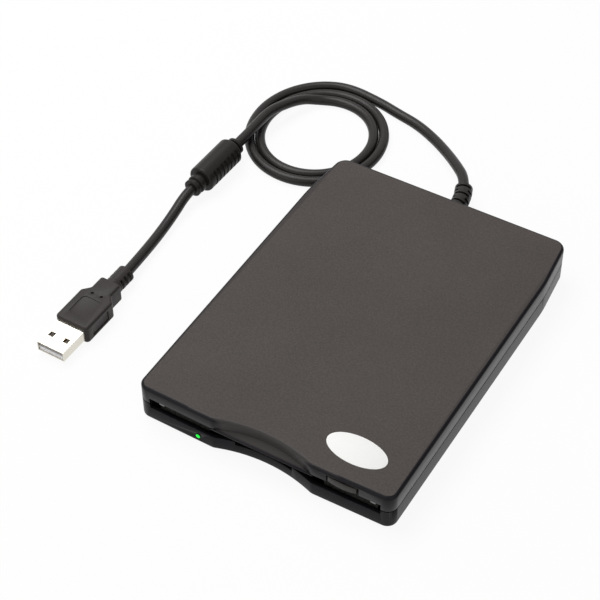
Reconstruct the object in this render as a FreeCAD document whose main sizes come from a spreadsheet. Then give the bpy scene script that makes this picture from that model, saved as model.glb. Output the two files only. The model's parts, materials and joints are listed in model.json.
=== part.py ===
import FreeCAD, Part
import math
import os
import re
from types import SimpleNamespace

from FreeCAD import Placement, Rotation, Vector

# External floppy disk drive. Millimetres, +Z up, front towards -Y.
# The origin is the bottom centre of the case, where its feet stand.

sizes = dict(
    # case
    case_width=103.0,
    case_depth=142.0,
    case_top=16.8,
    foot_gap=0.8,
    parting=9.6,
    wall=1.5,
    edge_round=1.3,
    corner_round=4.0,
    rear_round=5.0,
    taper_length=23.3,
    taper_inset=2.3,
    taper_round=60.0,
    front_bow=0.54,
    wave_half=20.0,
    wave_slope=18.5,
    wave_radius=58.0,
    wave_shoulder=5.0,
    # front of the case
    slot_margin_left=5.1,
    slot_margin_right=4.6,
    slot_bottom=7.2,
    slot_top=12.0,
    dip_left=-12.0,
    dip_right=11.0,
    dip_depth=1.7,
    lip_drop=1.1,
    lip_height=0.7,
    scoop_rise=1.25,
    button_beside_wave=6.5,
    button_width=11.5,
    button_gap=0.5,
    button_above_slot=0.1,
    button_under_notch=0.6,
    button_bulge=0.7,
    button_setback=0.3,
    button_depth=1.5,
    button_soft=0.3,
    stem_inset=1.5,
    stem_wall=0.4,
    led_across=-26.0,
    led_height=4.3,
    led_radius=1.0,
    led_flange=1.7,
    led_flange_thickness=0.6,
    led_flange_seat=0.15,
    led_proud=0.15,
    led_pipe_length=4.6,
    led_block=3.0,
    label_inset=21.1,
    label_back=13.5,
    label_length=24.0,
    label_width=12.3,
    label_turn=-2.5,
    label_thickness=0.25,
    # feet and screws of the case
    foot_radius=5.0,
    foot_inset=11.5,
    foot_back=15.0,
    foot_ahead=14.0,
    foot_seat=0.4,
    boss_radius=2.2,
    boss_front_inset=2.4,
    boss_back=6.4,
    boss_rear_inset=6.0,
    boss_ahead=5.4,
    case_screw_radius=1.0,
    case_screw_head=1.9,
    case_screw_head_depth=1.4,
    case_screw_length=11.0,
    case_screw_cross=1.2,
    screw_fit=0.05,
    # disk entry flaps
    flap_margin_left=3.4,
    flap_margin_right=1.9,
    flap_beside_wave_left=2.3,
    flap_beside_wave_right=4.0,
    flap_back=2.5,
    flap_hang=0.5,
    flap_drop=0.3,
    flap_barrel=0.5,
    flap_thickness=0.6,
    flap_pin=0.35,
    flap_pin_length=1.8,
    flap_pin_fit=0.05,
    lug_width=2.0,
    lug_gap=0.4,
    lug_depth=1.8,
    lug_clear=1.4,
    lug_seat=0.45,
    ear_width=1.0,
    ear_gap=0.3,
    ear_hang=0.7,
    ear_depth=1.7,
    # mechanism frame and top shield
    frame_gap=1.7,
    frame_back=9.5,
    frame_ahead=9.0,
    frame_lift=0.3,
    frame_headroom=1.0,
    sheet=0.8,
    shield_sheet=0.5,
    shield_window=22.0,
    shield_window_length=22.0,
    frame_screw_inset=7.8,
    frame_screw_back=21.5,
    frame_screw_ahead=22.0,
    frame_screw_radius=0.9,
    frame_screw_head=1.8,
    frame_screw_head_height=0.8,
    frame_screw_depth=1.7,
    standoff_radius=2.6,
    floor_window_margin=4.0,
    floor_window_inset=8.3,
    floor_window_length=40.0,
    floor_window_back=36.5,
    # disk holder and eject slider
    eject_travel=4.5,
    drop_travel=2.0,
    play=0.4,
    slider_sheet=0.6,
    slider_headroom=1.2,
    slider_back=13.5,
    slider_strip=5.5,
    slider_band=11.4,
    slider_tail=10.0,
    slider_arm_drop=1.8,
    tongue_width=6.5,
    tongue_back=3.8,
    holder_sheet=0.6,
    holder_headroom=1.2,
    holder_back=10.0,
    holder_tail=19.0,
    holder_step=0.2,
    holder_lip=3.2,
    holder_window_half=9.0,
    holder_window_front=-2.0,
    pin_radius=0.8,
    pin_drop=1.9,
    pin_back=17.0,
    pin_rear=4.0,
    slot_clearance=0.3,
    spring_strip_length=16.0,
    spring_strip_width=3.0,
    spring_strip_inset=16.0,
    spring_strip_sheet=0.25,
    # spindle
    spindle_along=-18.5,
    rotor_radius=21.0,
    rotor_lift=1.1,
    rotor_height=1.5,
    rotor_rim=1.2,
    hub_radius=11.0,
    hub_height=0.35,
    drive_pin_radius=0.9,
    drive_pin_offset=6.5,
    drive_pin_height=0.6,
    shaft_radius=1.5,
    shaft_fit=0.05,
    motor_board_half=26.0,
    motor_board_sheet=0.6,
    coil_count=9,
    coil_ring=15.0,
    coil_radius=2.4,
    coil_bore=0.9,
    coil_height=0.2,
    # heads
    carriage_front=19.0,
    carriage_half=20.0,
    carriage_depth=12.0,
    carriage_lift=0.6,
    carriage_sheet=1.6,
    carriage_nose_half=6.0,
    riser_depth=4.6,
    riser_half=8.0,
    rail_across=16.6,
    rail_lift=1.4,
    rail_radius=1.0,
    rail_fit=0.05,
    rail_sleeve=1.7,
    rail_front=0.5,
    rail_block=1.5,
    rail_block_wall=1.2,
    screw_across=-15.5,
    screw_radius=1.2,
    screw_groove=0.25,
    screw_pitch=3.0,
    screw_reach=19.0,
    screw_gap=0.3,
    follower_half=1.6,
    motor_ahead=12.6,
    motor_length=11.0,
    motor_radius=5.0,
    motor_collar=2.2,
    motor_nose=0.6,
    motor_seat=0.1,
    arm_headroom=2.5,
    arm_half=4.0,
    arm_sheet=0.8,
    arm_lift=0.2,
    arm_cheek=1.5,
    arm_gap=0.3,
    arm_pin=0.7,
    arm_pin_fit=0.05,
    head_half=2.2,
    head_height=0.5,
    upper_head_height=0.8,
    # shutter lever
    lever_inset=4.3,
    lever_ahead=17.0,
    lever_lift=7.0,
    lever_sheet=0.8,
    lever_width=4.0,
    lever_length=29.0,
    lever_turn=220.0,
    lever_post=1.5,
    lever_post_fit=0.05,
    # boards and flat cable
    board_sheet=0.8,
    board_lift=1.0,
    board_ahead=2.0,
    control_gap=2.5,
    control_inset=7.8,
    control_length=29.0,
    usb_board_inset=1.3,
    usb_board_gap=5.5,
    usb_board_length=28.0,
    chip_side=7.0,
    chip_height=1.2,
    can_length=11.0,
    can_width=4.4,
    can_height=3.4,
    socket_width=12.0,
    socket_depth=3.0,
    socket_height=4.0,
    ribbon_sheet=0.3,
    ribbon_headroom=0.4,
    ribbon_edge=1.0,
    # cable relief
    relief_height=8.0,
    relief_radius=3.7,
    relief_straight=4.5,
    relief_bent=12.5,
    relief_groove=0.7,
    relief_ribs=4,
    relief_flange=5.0,
    relief_flange_thickness=1.2,
    relief_turn=26.0,
    relief_tip=3.4,
    relief_taper=0.08,
    # cord, ferrite and plug
    cord_radius=2.15,
    coil_across=-72.5,
    coil_along=92.5,
    coil_reach=32.9,
    coil_pitch=5.2,
    coil_oval=0.85,
    coil_shift_across=0.43,
    coil_shift_along=-0.375,
    coil_start=75.0,
    coil_turns=2.25,
    climb_start=800.0,
    climb_span=75.0,
    climb_rise=4.95,
    climb_spread=2.0,
    choke_across=-98.9,
    choke_along=34.6,
    choke_height=5.46,
    choke_length=33.0,
    choke_yaw=4.4,
    choke_lift=2.3,
    choke_radius=5.6,
    choke_body=23.0,
    choke_body_start=6.2,
    choke_neck=3.5,
    choke_collar=4.3,
    core_radius=4.4,
    core_length=18.0,
    core_gap=0.15,
    plug_across=-94.85,
    plug_along=-51.6,
    plug_height=4.0,
    plug_yaw=1.0,
    plug_thickness=8.0,
    plug_width=14.7,
    plug_body_length=16.2,
    plug_shoulder=3.0,
    plug_neck_width=9.2,
    plug_neck_length=6.6,
    plug_relief_length=9.4,
    plug_relief_width=7.4,
    plug_ribs=4,
    plug_rib_trim=0.125,
    plug_round=1.0,
    plug_recess_width=8.5,
    plug_recess_length=10.0,
    plug_recess_depth=0.3,
    dimple_radius=0.6,
    dimple_apart=4.2,
    dimple_depth=0.7,
    shell_width=12.0,
    shell_height=4.5,
    shell_sheet=0.3,
    shell_exposed=12.9,
    shell_hidden=8.0,
    shell_window=2.3,
    shell_window_apart=6.6,
    shell_window_back=5.7,
    tongue_plate=1.84,
    tongue_gap=0.1,
    contact_width=1.0,
    contact_sheet=0.2,
    contact_pitch=2.25,
    contact_count=4,
)

# Places worked out from those sizes. Each may use the ones above it.
worked = dict(
    front_plane="-case_depth / 2",
    rear_plane="case_depth / 2",
    inner_front="front_plane + wall",
    inner_half="case_width / 2 - wall",
    inner_top="case_top - wall",
    slot_left="-case_width / 2 + slot_margin_left",
    slot_right="case_width / 2 - slot_margin_right",
    dip_bottom="slot_bottom - dip_depth",
    lip_bottom="slot_top - lip_drop",
    button_left="wave_half + button_beside_wave",
    button_right="button_left + button_width",
    button_bottom="slot_top + button_above_slot",
    button_top="inner_top - button_under_notch",
    label_across="case_width / 2 - label_inset",
    label_along="front_plane + label_back",
    foot_across="case_width / 2 - foot_inset",
    foot_front="front_plane + foot_back",
    foot_rear="rear_plane - foot_ahead",
    boss_front_across="inner_half - boss_front_inset",
    boss_front="front_plane + boss_back",
    boss_rear_across="inner_half - boss_rear_inset",
    boss_rear="rear_plane - boss_ahead",
    flap_left_start="slot_left + flap_margin_left",
    flap_left_end="-wave_half - flap_beside_wave_left",
    flap_right_start="wave_half + flap_beside_wave_right",
    flap_right_end="slot_right - flap_margin_right",
    flap_axis_along="front_plane + flap_back",
    flap_axis_height="slot_top - flap_hang",
    flap_bottom="slot_bottom - flap_drop",
    ear_bottom="flap_axis_height - ear_hang",
    frame_half="inner_half - frame_gap",
    frame_front="front_plane + frame_back",
    frame_rear="rear_plane - frame_ahead",
    frame_bottom="foot_gap + wall + frame_lift",
    frame_floor="frame_bottom + sheet",
    frame_top="inner_top - frame_headroom",
    floor_window_front="frame_front + floor_window_back",
    frame_screw_across="frame_half - frame_screw_inset",
    frame_screw_front="frame_front + frame_screw_back",
    frame_screw_rear="frame_rear - frame_screw_ahead",
    slider_half="frame_half - sheet - play",
    slider_bottom="frame_top - slider_headroom",
    slider_front="front_plane + slider_back",
    slider_rear="pin_rear + slider_tail",
    slider_window_half="slider_half - slider_band",
    slider_window_front="slider_front + slider_strip",
    slider_window_rear="slider_rear - 8",
    stem_bottom="slider_bottom - stem_wall",
    tongue_left="(button_left + button_right - tongue_width) / 2",
    tongue_right="tongue_left + tongue_width",
    tongue_front="front_plane + tongue_back",
    holder_half="slider_half - slider_sheet - play",
    holder_top="slider_bottom - holder_headroom",
    holder_front="front_plane + holder_back",
    holder_rear="pin_rear + holder_tail",
    holder_lip_top="slot_bottom - holder_step",
    pin_height="holder_top - pin_drop",
    pin_front="holder_front + pin_back",
    slider_arm_bottom="pin_height - drop_travel - slider_arm_drop",
    rotor_bottom="frame_floor + rotor_lift",
    rotor_top="rotor_bottom + rotor_height",
    motor_front="frame_rear - motor_ahead",
    screw_height="frame_floor + motor_radius + motor_seat",
    carriage_bottom="frame_floor + carriage_lift",
    carriage_plate_top="carriage_bottom + carriage_sheet",
    carriage_rear="motor_front - motor_nose - screw_gap - 0.5",
    riser_front="carriage_rear - riser_depth",
    screw_front="carriage_rear - screw_reach",
    rail_height="carriage_bottom + rail_lift",
    rail_rear="carriage_rear + 5",
    arm_axis_height="frame_top - arm_headroom",
    arm_axis_along="carriage_rear - 2",
    arm_front="carriage_front + 1",
    head_along="carriage_front + 2.5",
    riser_top="arm_axis_height - 1.2",
    lever_across="frame_half - lever_inset",
    lever_along="frame_rear - lever_ahead",
    lever_bottom="frame_bottom + lever_lift",
    board_bottom="frame_floor + board_lift",
    board_rear="frame_rear - board_ahead",
    control_left="carriage_half + control_gap",
    control_right="frame_half - control_inset",
    control_front="board_rear - control_length",
    usb_left="-frame_half + sheet + usb_board_inset",
    usb_right="screw_across - motor_radius - usb_board_gap",
    usb_front="board_rear - usb_board_length",
    ribbon_height="frame_top - ribbon_headroom",
    socket_rear="board_rear - 0.5",
    socket_front="socket_rear - socket_width",
)

doc = FreeCAD.newDocument("floppy_drive")
sheet = doc.addObject("Spreadsheet::Sheet", "Sizes")
for row, (word, value) in enumerate(sizes.items(), start=1):
    sheet.set("A%d" % row, word)
    sheet.set("B%d" % row, str(value))
    sheet.setAlias("B%d" % row, word)
doc.recompute()


def bound(text):
    """Turns the words of a formula into cells of the sheet or worked-out places."""
    def cell(found):
        word = found.group(0)
        if word in sizes:
            return "Sizes." + word
        return "Places." + word if word in worked else word
    return re.sub(r"[a-z_]+", cell, str(text))


places = doc.addObject("App::VarSet", "Places")
for word, formula in worked.items():
    places.addProperty("App::PropertyFloat", word, "Worked")
    places.setExpression(word, bound(formula))
doc.recompute()
size = SimpleNamespace(**sizes, **{word: getattr(places, word) for word in worked})

finished = []


def bind(item, **formulas):
    for name, formula in formulas.items():
        item.setExpression(name.replace("_of_", "."), bound(formula))
    return item


def place(item, across=0, along=0, up=0, turn=None):
    if turn is not None:
        item.Placement = Placement(Vector(), turn)
    bind(item, Placement_of_Base_of_x=across, Placement_of_Base_of_y=along,
         Placement_of_Base_of_z=up)
    return item


def block(name, across, along, up):
    """A box between pairs of formulas."""
    item = doc.addObject("Part::Box", name)
    bind(item, Length="(%s) - (%s)" % (across[1], across[0]),
         Width="(%s) - (%s)" % (along[1], along[0]),
         Height="(%s) - (%s)" % (up[1], up[0]))
    return place(item, across[0], along[0], up[0])


turns = {"X": Rotation(Vector(0, 1, 0), 90), "Y": Rotation(Vector(1, 0, 0), -90), "Z": Rotation()}


def rod(name, direction, start, radius, length):
    """A round bar from its start along one axis."""
    item = doc.addObject("Part::Cylinder", name)
    bind(item, Radius=radius, Height=length)
    return place(item, *start, turn=turns[direction])


def join(name, *items):
    item = doc.addObject("Part::MultiFuse", name)
    item.Shapes = list(items)
    item.Refine = True
    return item


def carve(name, base, *tools):
    item = doc.addObject("Part::Cut", name)
    item.Base = base
    item.Tool = tools[0] if len(tools) == 1 else join(name + "_tools", *tools)
    item.Refine = True
    return item


def done(item, label):
    """Marks a finished sub-part, whose label names its file."""
    item.Label = label
    finished.append(item)
    return item


def plane_of(body, role):
    return next(item for item in body.Origin.OriginFeatures if item.Role == role)


def add_sketch(body, name, role, edges, lift=0):
    """A sketch on one of the body's own planes, lifted along the plane's normal."""
    sketch = body.newObject("Sketcher::SketchObject", name)
    sketch.AttachmentSupport = [(plane_of(body, role), "")]
    sketch.MapMode = "FlatFace"
    sketch.setExpression(".AttachmentOffset.Base.z", bound(lift))
    for edge in edges:
        sketch.addGeometry(edge, False)
    return sketch


def pad(body, name, sketch, length):
    feature = body.newObject("PartDesign::Pad", name)
    feature.Profile = sketch
    return bind(feature, Length=length)


def pocket(body, name, sketch, length, upwards=True):
    feature = body.newObject("PartDesign::Pocket", name)
    feature.Profile = sketch
    feature.Reversed = upwards
    return bind(feature, Length=length)


def line(first, second):
    return Part.LineSegment(Vector(*first), Vector(*second))


def polygon(points):
    spots = [(x, y, 0) for x, y in points]
    return [line(a, b) for a, b in zip(spots, spots[1:] + spots[:1])]


def rounded(corners, inset=0.0):
    """Lines and tangent arcs round a counter-clockwise outline of (x, y, radius) corners.

    An inset moves each side inwards. A convex corner's radius shrinks by it, a hollow one's grows.
    """
    count = len(corners)
    sides = []
    for index in range(count):
        x1, y1, _ = corners[index]
        x2, y2, _ = corners[(index + 1) % count]
        along = Vector(x2 - x1, y2 - y1, 0).normalize()
        sides.append((Vector(x1, y1, 0) + Vector(-along.y, along.x, 0) * inset, along))
    starts, ends, arcs = [], [], []
    for index in range(count):
        before, into = sides[index - 1]
        after, out = sides[index]
        turn = into.x * out.y - into.y * out.x
        reach = ((after - before).x * out.y - (after - before).y * out.x) / turn
        corner = before + into * reach
        radius = corners[index][2] - inset * math.copysign(1, turn)
        half = math.acos(max(-1, min(1, into.dot(out)))) / 2
        cut = radius * math.tan(half)
        middle = (out - into).normalize()
        bulge = corner + middle * (radius / math.cos(half) - radius)
        ends.append(corner - into * cut)
        starts.append(corner + out * cut)
        arcs.append(Part.Arc(ends[-1], bulge, starts[-1]))
    edges = []
    for index in range(count):
        edges.append(arcs[index])
        edges.append(Part.LineSegment(starts[index], ends[(index + 1) % count]))
    return edges


half_width = size.case_width / 2
front = size.front_plane
rear = size.rear_plane
slope = math.radians(size.wave_slope)
wave_rise = size.wave_half * math.tan(slope)
# The hollow's arc leaves room on each slope for the shoulder's arc.
shoulder_run = size.wave_shoulder * math.tan(slope / 2) + 0.5
wave_radius = min(size.wave_radius, (size.wave_half / math.cos(slope) - shoulder_run) / math.tan(slope))
hollow = wave_radius / math.cos(slope) - wave_radius
wave_deepest = front + wave_rise - hollow


def case_corners():
    """Plan of the case: bowed front with its wave, straight sides, tapered rear."""
    side_end = rear - size.taper_length
    return [
        (-half_width, front + size.front_bow, size.corner_round),
        (-size.wave_half, front, size.wave_shoulder),
        (0, front + wave_rise, wave_radius),
        (size.wave_half, front, size.wave_shoulder),
        (half_width, front + size.front_bow, size.corner_round),
        (half_width, side_end, size.taper_round),
        (half_width - size.taper_inset, rear, size.rear_round),
        (-half_width + size.taper_inset, rear, size.rear_round),
        (-half_width, side_end, size.taper_round),
    ]


def edges_at_height(shape, height):
    return ["Edge%d" % (number + 1) for number, edge in enumerate(shape.Edges)
            if all(abs(vertex.Z - height) < 1e-6 for vertex in edge.Vertexes)
            and abs(edge.CenterOfMass.z - height) < 1e-6]


def case_half(name, low, high, rounded_height, floor_low, floor_high):
    """One moulded half: the plan as a pad, its outer edge rounded, and the hollow cut out."""
    body = doc.addObject("PartDesign::Body", name)
    plan = add_sketch(body, name + "_plan", "XY_Plane", rounded(case_corners()), low)
    outside = pad(body, name + "_outside", plan, "%s - (%s)" % (high, low))
    doc.recompute()
    rim = body.newObject("PartDesign::Fillet", name + "_rim")
    rim.Base = (outside, edges_at_height(outside.Shape, rounded_height))
    bind(rim, Radius="min(edge_round; wall * 0.95)")
    inner_plan = add_sketch(body, name + "_inner_plan", "XY_Plane",
                            rounded(case_corners(), size.wall), floor_low)
    pocket(body, name + "_hollow", inner_plan, "%s - (%s)" % (floor_high, floor_low))
    doc.recompute()
    return body


screw_places = [("boss_front_across", "boss_front"), ("-boss_front_across", "boss_front"),
                ("boss_rear_across", "boss_rear"), ("-boss_rear_across", "boss_rear")]
frame_screw_places = [("frame_screw_across", "frame_screw_front"),
                      ("-frame_screw_across", "frame_screw_front"),
                      ("frame_screw_across", "frame_screw_rear"),
                      ("-frame_screw_across", "frame_screw_rear")]
foot_places = [("foot_across", "foot_front"), ("-foot_across", "foot_front"),
               ("foot_across", "foot_rear"), ("-foot_across", "foot_rear")]
flap_spans = {"left": ("flap_left_start", "flap_left_end"),
              "right": ("flap_right_start", "flap_right_end")}


def make_upper_case():
    """Top half: scooped front with the slot's upper edge, button notch, ears and bosses."""
    shell = case_half("upper_shell", "parting", "case_top", size.case_top,
                      "parting", "case_top - wall")
    slot = block("upper_slot_cut", ("slot_left", "slot_right"),
                 ("front_plane - 1", "inner_front + 4"), ("parting - 1", "slot_top"))
    notch = block("button_notch", ("button_left - button_gap", "button_right + button_gap"),
                  ("front_plane - 1", "inner_front + 0.5"), ("slot_top - 1", "inner_top"))
    opened = carve("upper_opened", shell, slot, notch)

    # The scoop is a wedge with a straight lip, under the hollow of the wave.
    lip_top = size.lip_bottom + size.lip_height
    inner_wave = wave_deepest + size.wall
    wedge = doc.addObject("Part::Feature", "scoop_wedge")
    profile = Part.makePolygon([
        Vector(-size.wave_half - 4, front, size.lip_bottom + 0.25),
        Vector(-size.wave_half - 4, front, lip_top),
        Vector(-size.wave_half - 4, wave_deepest, lip_top + size.scoop_rise),
        Vector(-size.wave_half - 4, inner_wave, lip_top + size.scoop_rise),
        Vector(-size.wave_half - 4, inner_wave, size.lip_bottom),
        Vector(-size.wave_half - 4, front + 0.25, size.lip_bottom),
        Vector(-size.wave_half - 4, front, size.lip_bottom + 0.25)])
    solid = Part.Face(profile).extrude(Vector(2 * size.wave_half + 8, 0, 0))
    ends = Part.makeBox(2 * size.wave_half + 1.0, 12.0, 8.0,
                        Vector(-size.wave_half - 0.5, front - 1, size.lip_bottom - 1))
    wedge.Shape = solid.common(ends)

    ears = []
    for side, low, high in (("left", "flap_left_end + ear_gap", "flap_left_end + ear_gap + ear_width"),
                            ("right", "flap_right_start - ear_gap - ear_width",
                             "flap_right_start - ear_gap")):
        ears.append(block("ear_" + side, (low, high),
                          ("inner_front - 0.2", "inner_front + ear_depth"),
                          ("ear_bottom", "case_top - wall + 0.1")))
    bosses = [rod("upper_boss_%d" % number, "Z", (across, along, "parting"), "boss_radius",
                  "case_top - wall - parting + 0.1")
              for number, (across, along) in enumerate(screw_places)]
    whole = join("upper_joined", opened, wedge, *ears, *bosses)

    pin_holes = [rod("pin_hole_" + side, "X", (start, "flap_axis_along", "flap_axis_height"),
                     "flap_pin + flap_pin_fit", "ear_width + 1")
                 for side, start in (("left", "flap_left_end + ear_gap - 0.5"),
                                     ("right", "flap_right_start - ear_gap - ear_width - 0.5"))]
    screw_holes = [rod("upper_screw_hole_%d" % number, "Z", (across, along, "parting - 0.1"),
                       "case_screw_radius + screw_fit",
                       "case_screw_length + foot_gap + case_screw_head_depth - parting + 0.4")
                   for number, (across, along) in enumerate(screw_places)]
    relief_hole = rod("upper_relief_hole", "Y",
                      (0, "rear_plane - wall - 0.1", "relief_height"),
                      "relief_radius + screw_fit", "wall + 0.2")
    done(carve("upper_finished", whole, *pin_holes, *screw_holes, relief_hole), "upper_case")


def make_lower_case():
    """Bottom half: the front wall follows the wave and dips in the middle for a fingertip."""
    shell = case_half("lower_shell", "foot_gap", "parting", size.foot_gap,
                      "foot_gap + wall", "parting")
    slot = block("lower_slot_cut", ("slot_left", "slot_right"),
                 ("front_plane - 1", "inner_front + 4"), ("slot_bottom", "parting + 1"))
    dip = block("finger_dip", ("dip_left", "dip_right"),
                ("front_plane - 1", "inner_front + 4"), ("dip_bottom", "parting + 1"))
    led_hole = rod("led_hole", "Y", ("led_across", "front_plane - 1", "led_height"),
                   "led_radius + screw_fit", "wall + 2")
    opened = carve("lower_opened", shell, slot, dip, led_hole)

    bosses = [rod("lower_boss_%d" % number, "Z", (across, along, "foot_gap + wall - 0.1"),
                  "boss_radius", "parting - foot_gap - wall + 0.1")
              for number, (across, along) in enumerate(screw_places)]
    standoffs = [rod("standoff_%d" % number, "Z", (across, along, "foot_gap + wall - 0.1"),
                     "standoff_radius", "frame_bottom - foot_gap - wall + 0.1")
                 for number, (across, along) in enumerate(frame_screw_places)]
    whole = join("lower_joined", opened, *bosses, *standoffs)

    cuts = []
    for number, (across, along) in enumerate(screw_places):
        cuts.append(rod("lower_screw_hole_%d" % number, "Z", (across, along, "0"),
                        "case_screw_radius + screw_fit", "parting + 1"))
        cuts.append(rod("lower_screw_seat_%d" % number, "Z", (across, along, "0"),
                        "case_screw_head + screw_fit", "foot_gap + case_screw_head_depth"))
    for number, (across, along) in enumerate(foot_places):
        cuts.append(rod("foot_seat_%d" % number, "Z", (across, along, "0"),
                        "foot_radius + screw_fit", "foot_gap + foot_seat"))
    for number, (across, along) in enumerate(frame_screw_places):
        cuts.append(rod("frame_screw_hole_%d" % number, "Z",
                        (across, along, "frame_bottom - frame_screw_depth + sheet"),
                        "frame_screw_radius + screw_fit", "frame_screw_depth + 1"))
    cuts.append(rod("lower_relief_hole", "Y",
                    (0, "rear_plane - wall - 0.1", "relief_height"),
                    "relief_radius + screw_fit", "wall + 0.2"))
    done(carve("lower_finished", whole, *cuts), "lower_case")


def make_case_fittings():
    """Feet, screws, label, light pipe and its lamp."""
    feet = []
    for number, (across, along) in enumerate(foot_places):
        tread = doc.addObject("Part::Cone", "foot_tread_%d" % number)
        bind(tread, Radius1="foot_radius - 0.4", Radius2="foot_radius", Height="foot_gap * 0.5")
        place(tread, across, along, 0)
        feet.append(join("foot_%d" % number, tread,
                         rod("foot_pad_%d" % number, "Z", (across, along, "foot_gap * 0.5"),
                             "foot_radius", "foot_gap * 0.5 + foot_seat")))
    group = doc.addObject("Part::Compound", "feet_group")
    group.Links = feet
    done(group, "feet")

    screws = []
    for number, (across, along) in enumerate(screw_places):
        head = rod("case_screw_head_%d" % number, "Z", (across, along, "foot_gap + 0.3"),
                   "case_screw_head", "case_screw_head_depth - 0.3")
        shank = rod("case_screw_shank_%d" % number, "Z",
                    (across, along, "foot_gap + case_screw_head_depth - 0.1"),
                    "case_screw_radius", "case_screw_length")
        cross = block("case_screw_slot_%d" % number,
                      ("%s - case_screw_cross" % across, "%s + case_screw_cross" % across),
                      ("%s - 0.2" % along, "%s + 0.2" % along),
                      ("foot_gap + 0.2", "foot_gap + 0.9"))
        other = block("case_screw_bar_%d" % number,
                      ("%s - 0.2" % across, "%s + 0.2" % across),
                      ("%s - case_screw_cross" % along, "%s + case_screw_cross" % along),
                      ("foot_gap + 0.2", "foot_gap + 0.9"))
        screws.append(carve("case_screw_%d" % number,
                            join("case_screw_blank_%d" % number, head, shank), cross, other))
    group = doc.addObject("Part::Compound", "case_screw_group")
    group.Links = screws
    done(group, "case_screws")

    label = doc.addObject("PartDesign::Body", "label_body")
    outline = add_sketch(label, "label_outline", "XY_Plane", [
        Part.Ellipse(Vector(0, 0, 0), size.label_length / 2, size.label_width / 2)])
    pad(label, "label_pad", outline, "label_thickness")
    label.Placement = Placement(Vector(size.label_across, size.label_along, size.case_top),
                                Rotation(Vector(0, 0, 1), size.label_turn))
    done(label, "label_plate")

    pipe = join("light_pipe",
                rod("light_pipe_bar", "Y", ("led_across", "front_plane - led_proud", "led_height"),
                    "led_radius", "wall + led_proud + led_pipe_length"),
                rod("light_pipe_flange", "Y", ("led_across", "inner_front + led_flange_seat", "led_height"),
                    "led_flange", "led_flange_thickness"))
    done(pipe, "led_light_pipe")
    lamp = block("lamp", ("led_across - led_block / 2", "led_across + led_block / 2"),
                 ("inner_front + led_pipe_length", "inner_front + led_pipe_length + 2"),
                 ("foot_gap + wall", "led_height + led_block / 2"))
    done(lamp, "led_body")


def make_flaps():
    """Two sprung wings that close the slot, each on a pin between a lug and a rib of the case."""
    lug_room = "(lug_width + 2 * lug_gap)"
    lugs = []
    for side, (start, end) in flap_spans.items():
        outward = side == "left"
        near = start + " + " + lug_room if outward else start
        far = end if outward else end + " - " + lug_room
        plate = block("flap_plate_" + side, (start, end),
                      ("flap_axis_along - flap_thickness / 2", "flap_axis_along + flap_thickness / 2"),
                      ("flap_bottom", "flap_axis_height - lug_clear"))
        upper = block("flap_upper_" + side, (near, far),
                      ("flap_axis_along - flap_thickness / 2", "flap_axis_along + flap_thickness / 2"),
                      ("flap_axis_height - lug_clear - 0.1", "flap_axis_height"))
        bead = rod("flap_bead_" + side, "X", (start, "flap_axis_along", "flap_bottom"),
                   "flap_thickness / 2", "%s - (%s)" % (end, start))
        barrel = rod("flap_barrel_" + side, "X", (near, "flap_axis_along", "flap_axis_height"),
                     "flap_barrel", "%s - (%s)" % (far, near))
        pin_start = near + " - flap_pin_length" if outward else near + " - ear_gap - ear_width + 0.1"
        pin_end = far + " + ear_gap + ear_width - 0.1" if outward else far + " + flap_pin_length"
        pin = rod("flap_pin_" + side, "X", (pin_start, "flap_axis_along", "flap_axis_height"),
                  "flap_pin", "%s - (%s)" % (pin_end, pin_start))
        done(join("flap_" + side, plate, upper, bead, barrel, pin), "entry_flap_" + side)

        lug_low = start + " + lug_gap" if outward else end + " - lug_gap - lug_width"
        lug = block("lug_blank_" + side, (lug_low, lug_low + " + lug_width"),
                    ("inner_front + lug_seat", "inner_front + lug_depth"), ("ear_bottom", "inner_top"))
        hole = rod("lug_hole_" + side, "X", (lug_low + " - 1", "flap_axis_along", "flap_axis_height"),
                   "flap_pin + flap_pin_fit", "lug_width + 2")
        lugs.append(carve("lug_" + side, lug, hole))
    group = doc.addObject("Part::Compound", "lug_group")
    group.Links = lugs
    done(group, "hinge_lugs")


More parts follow.
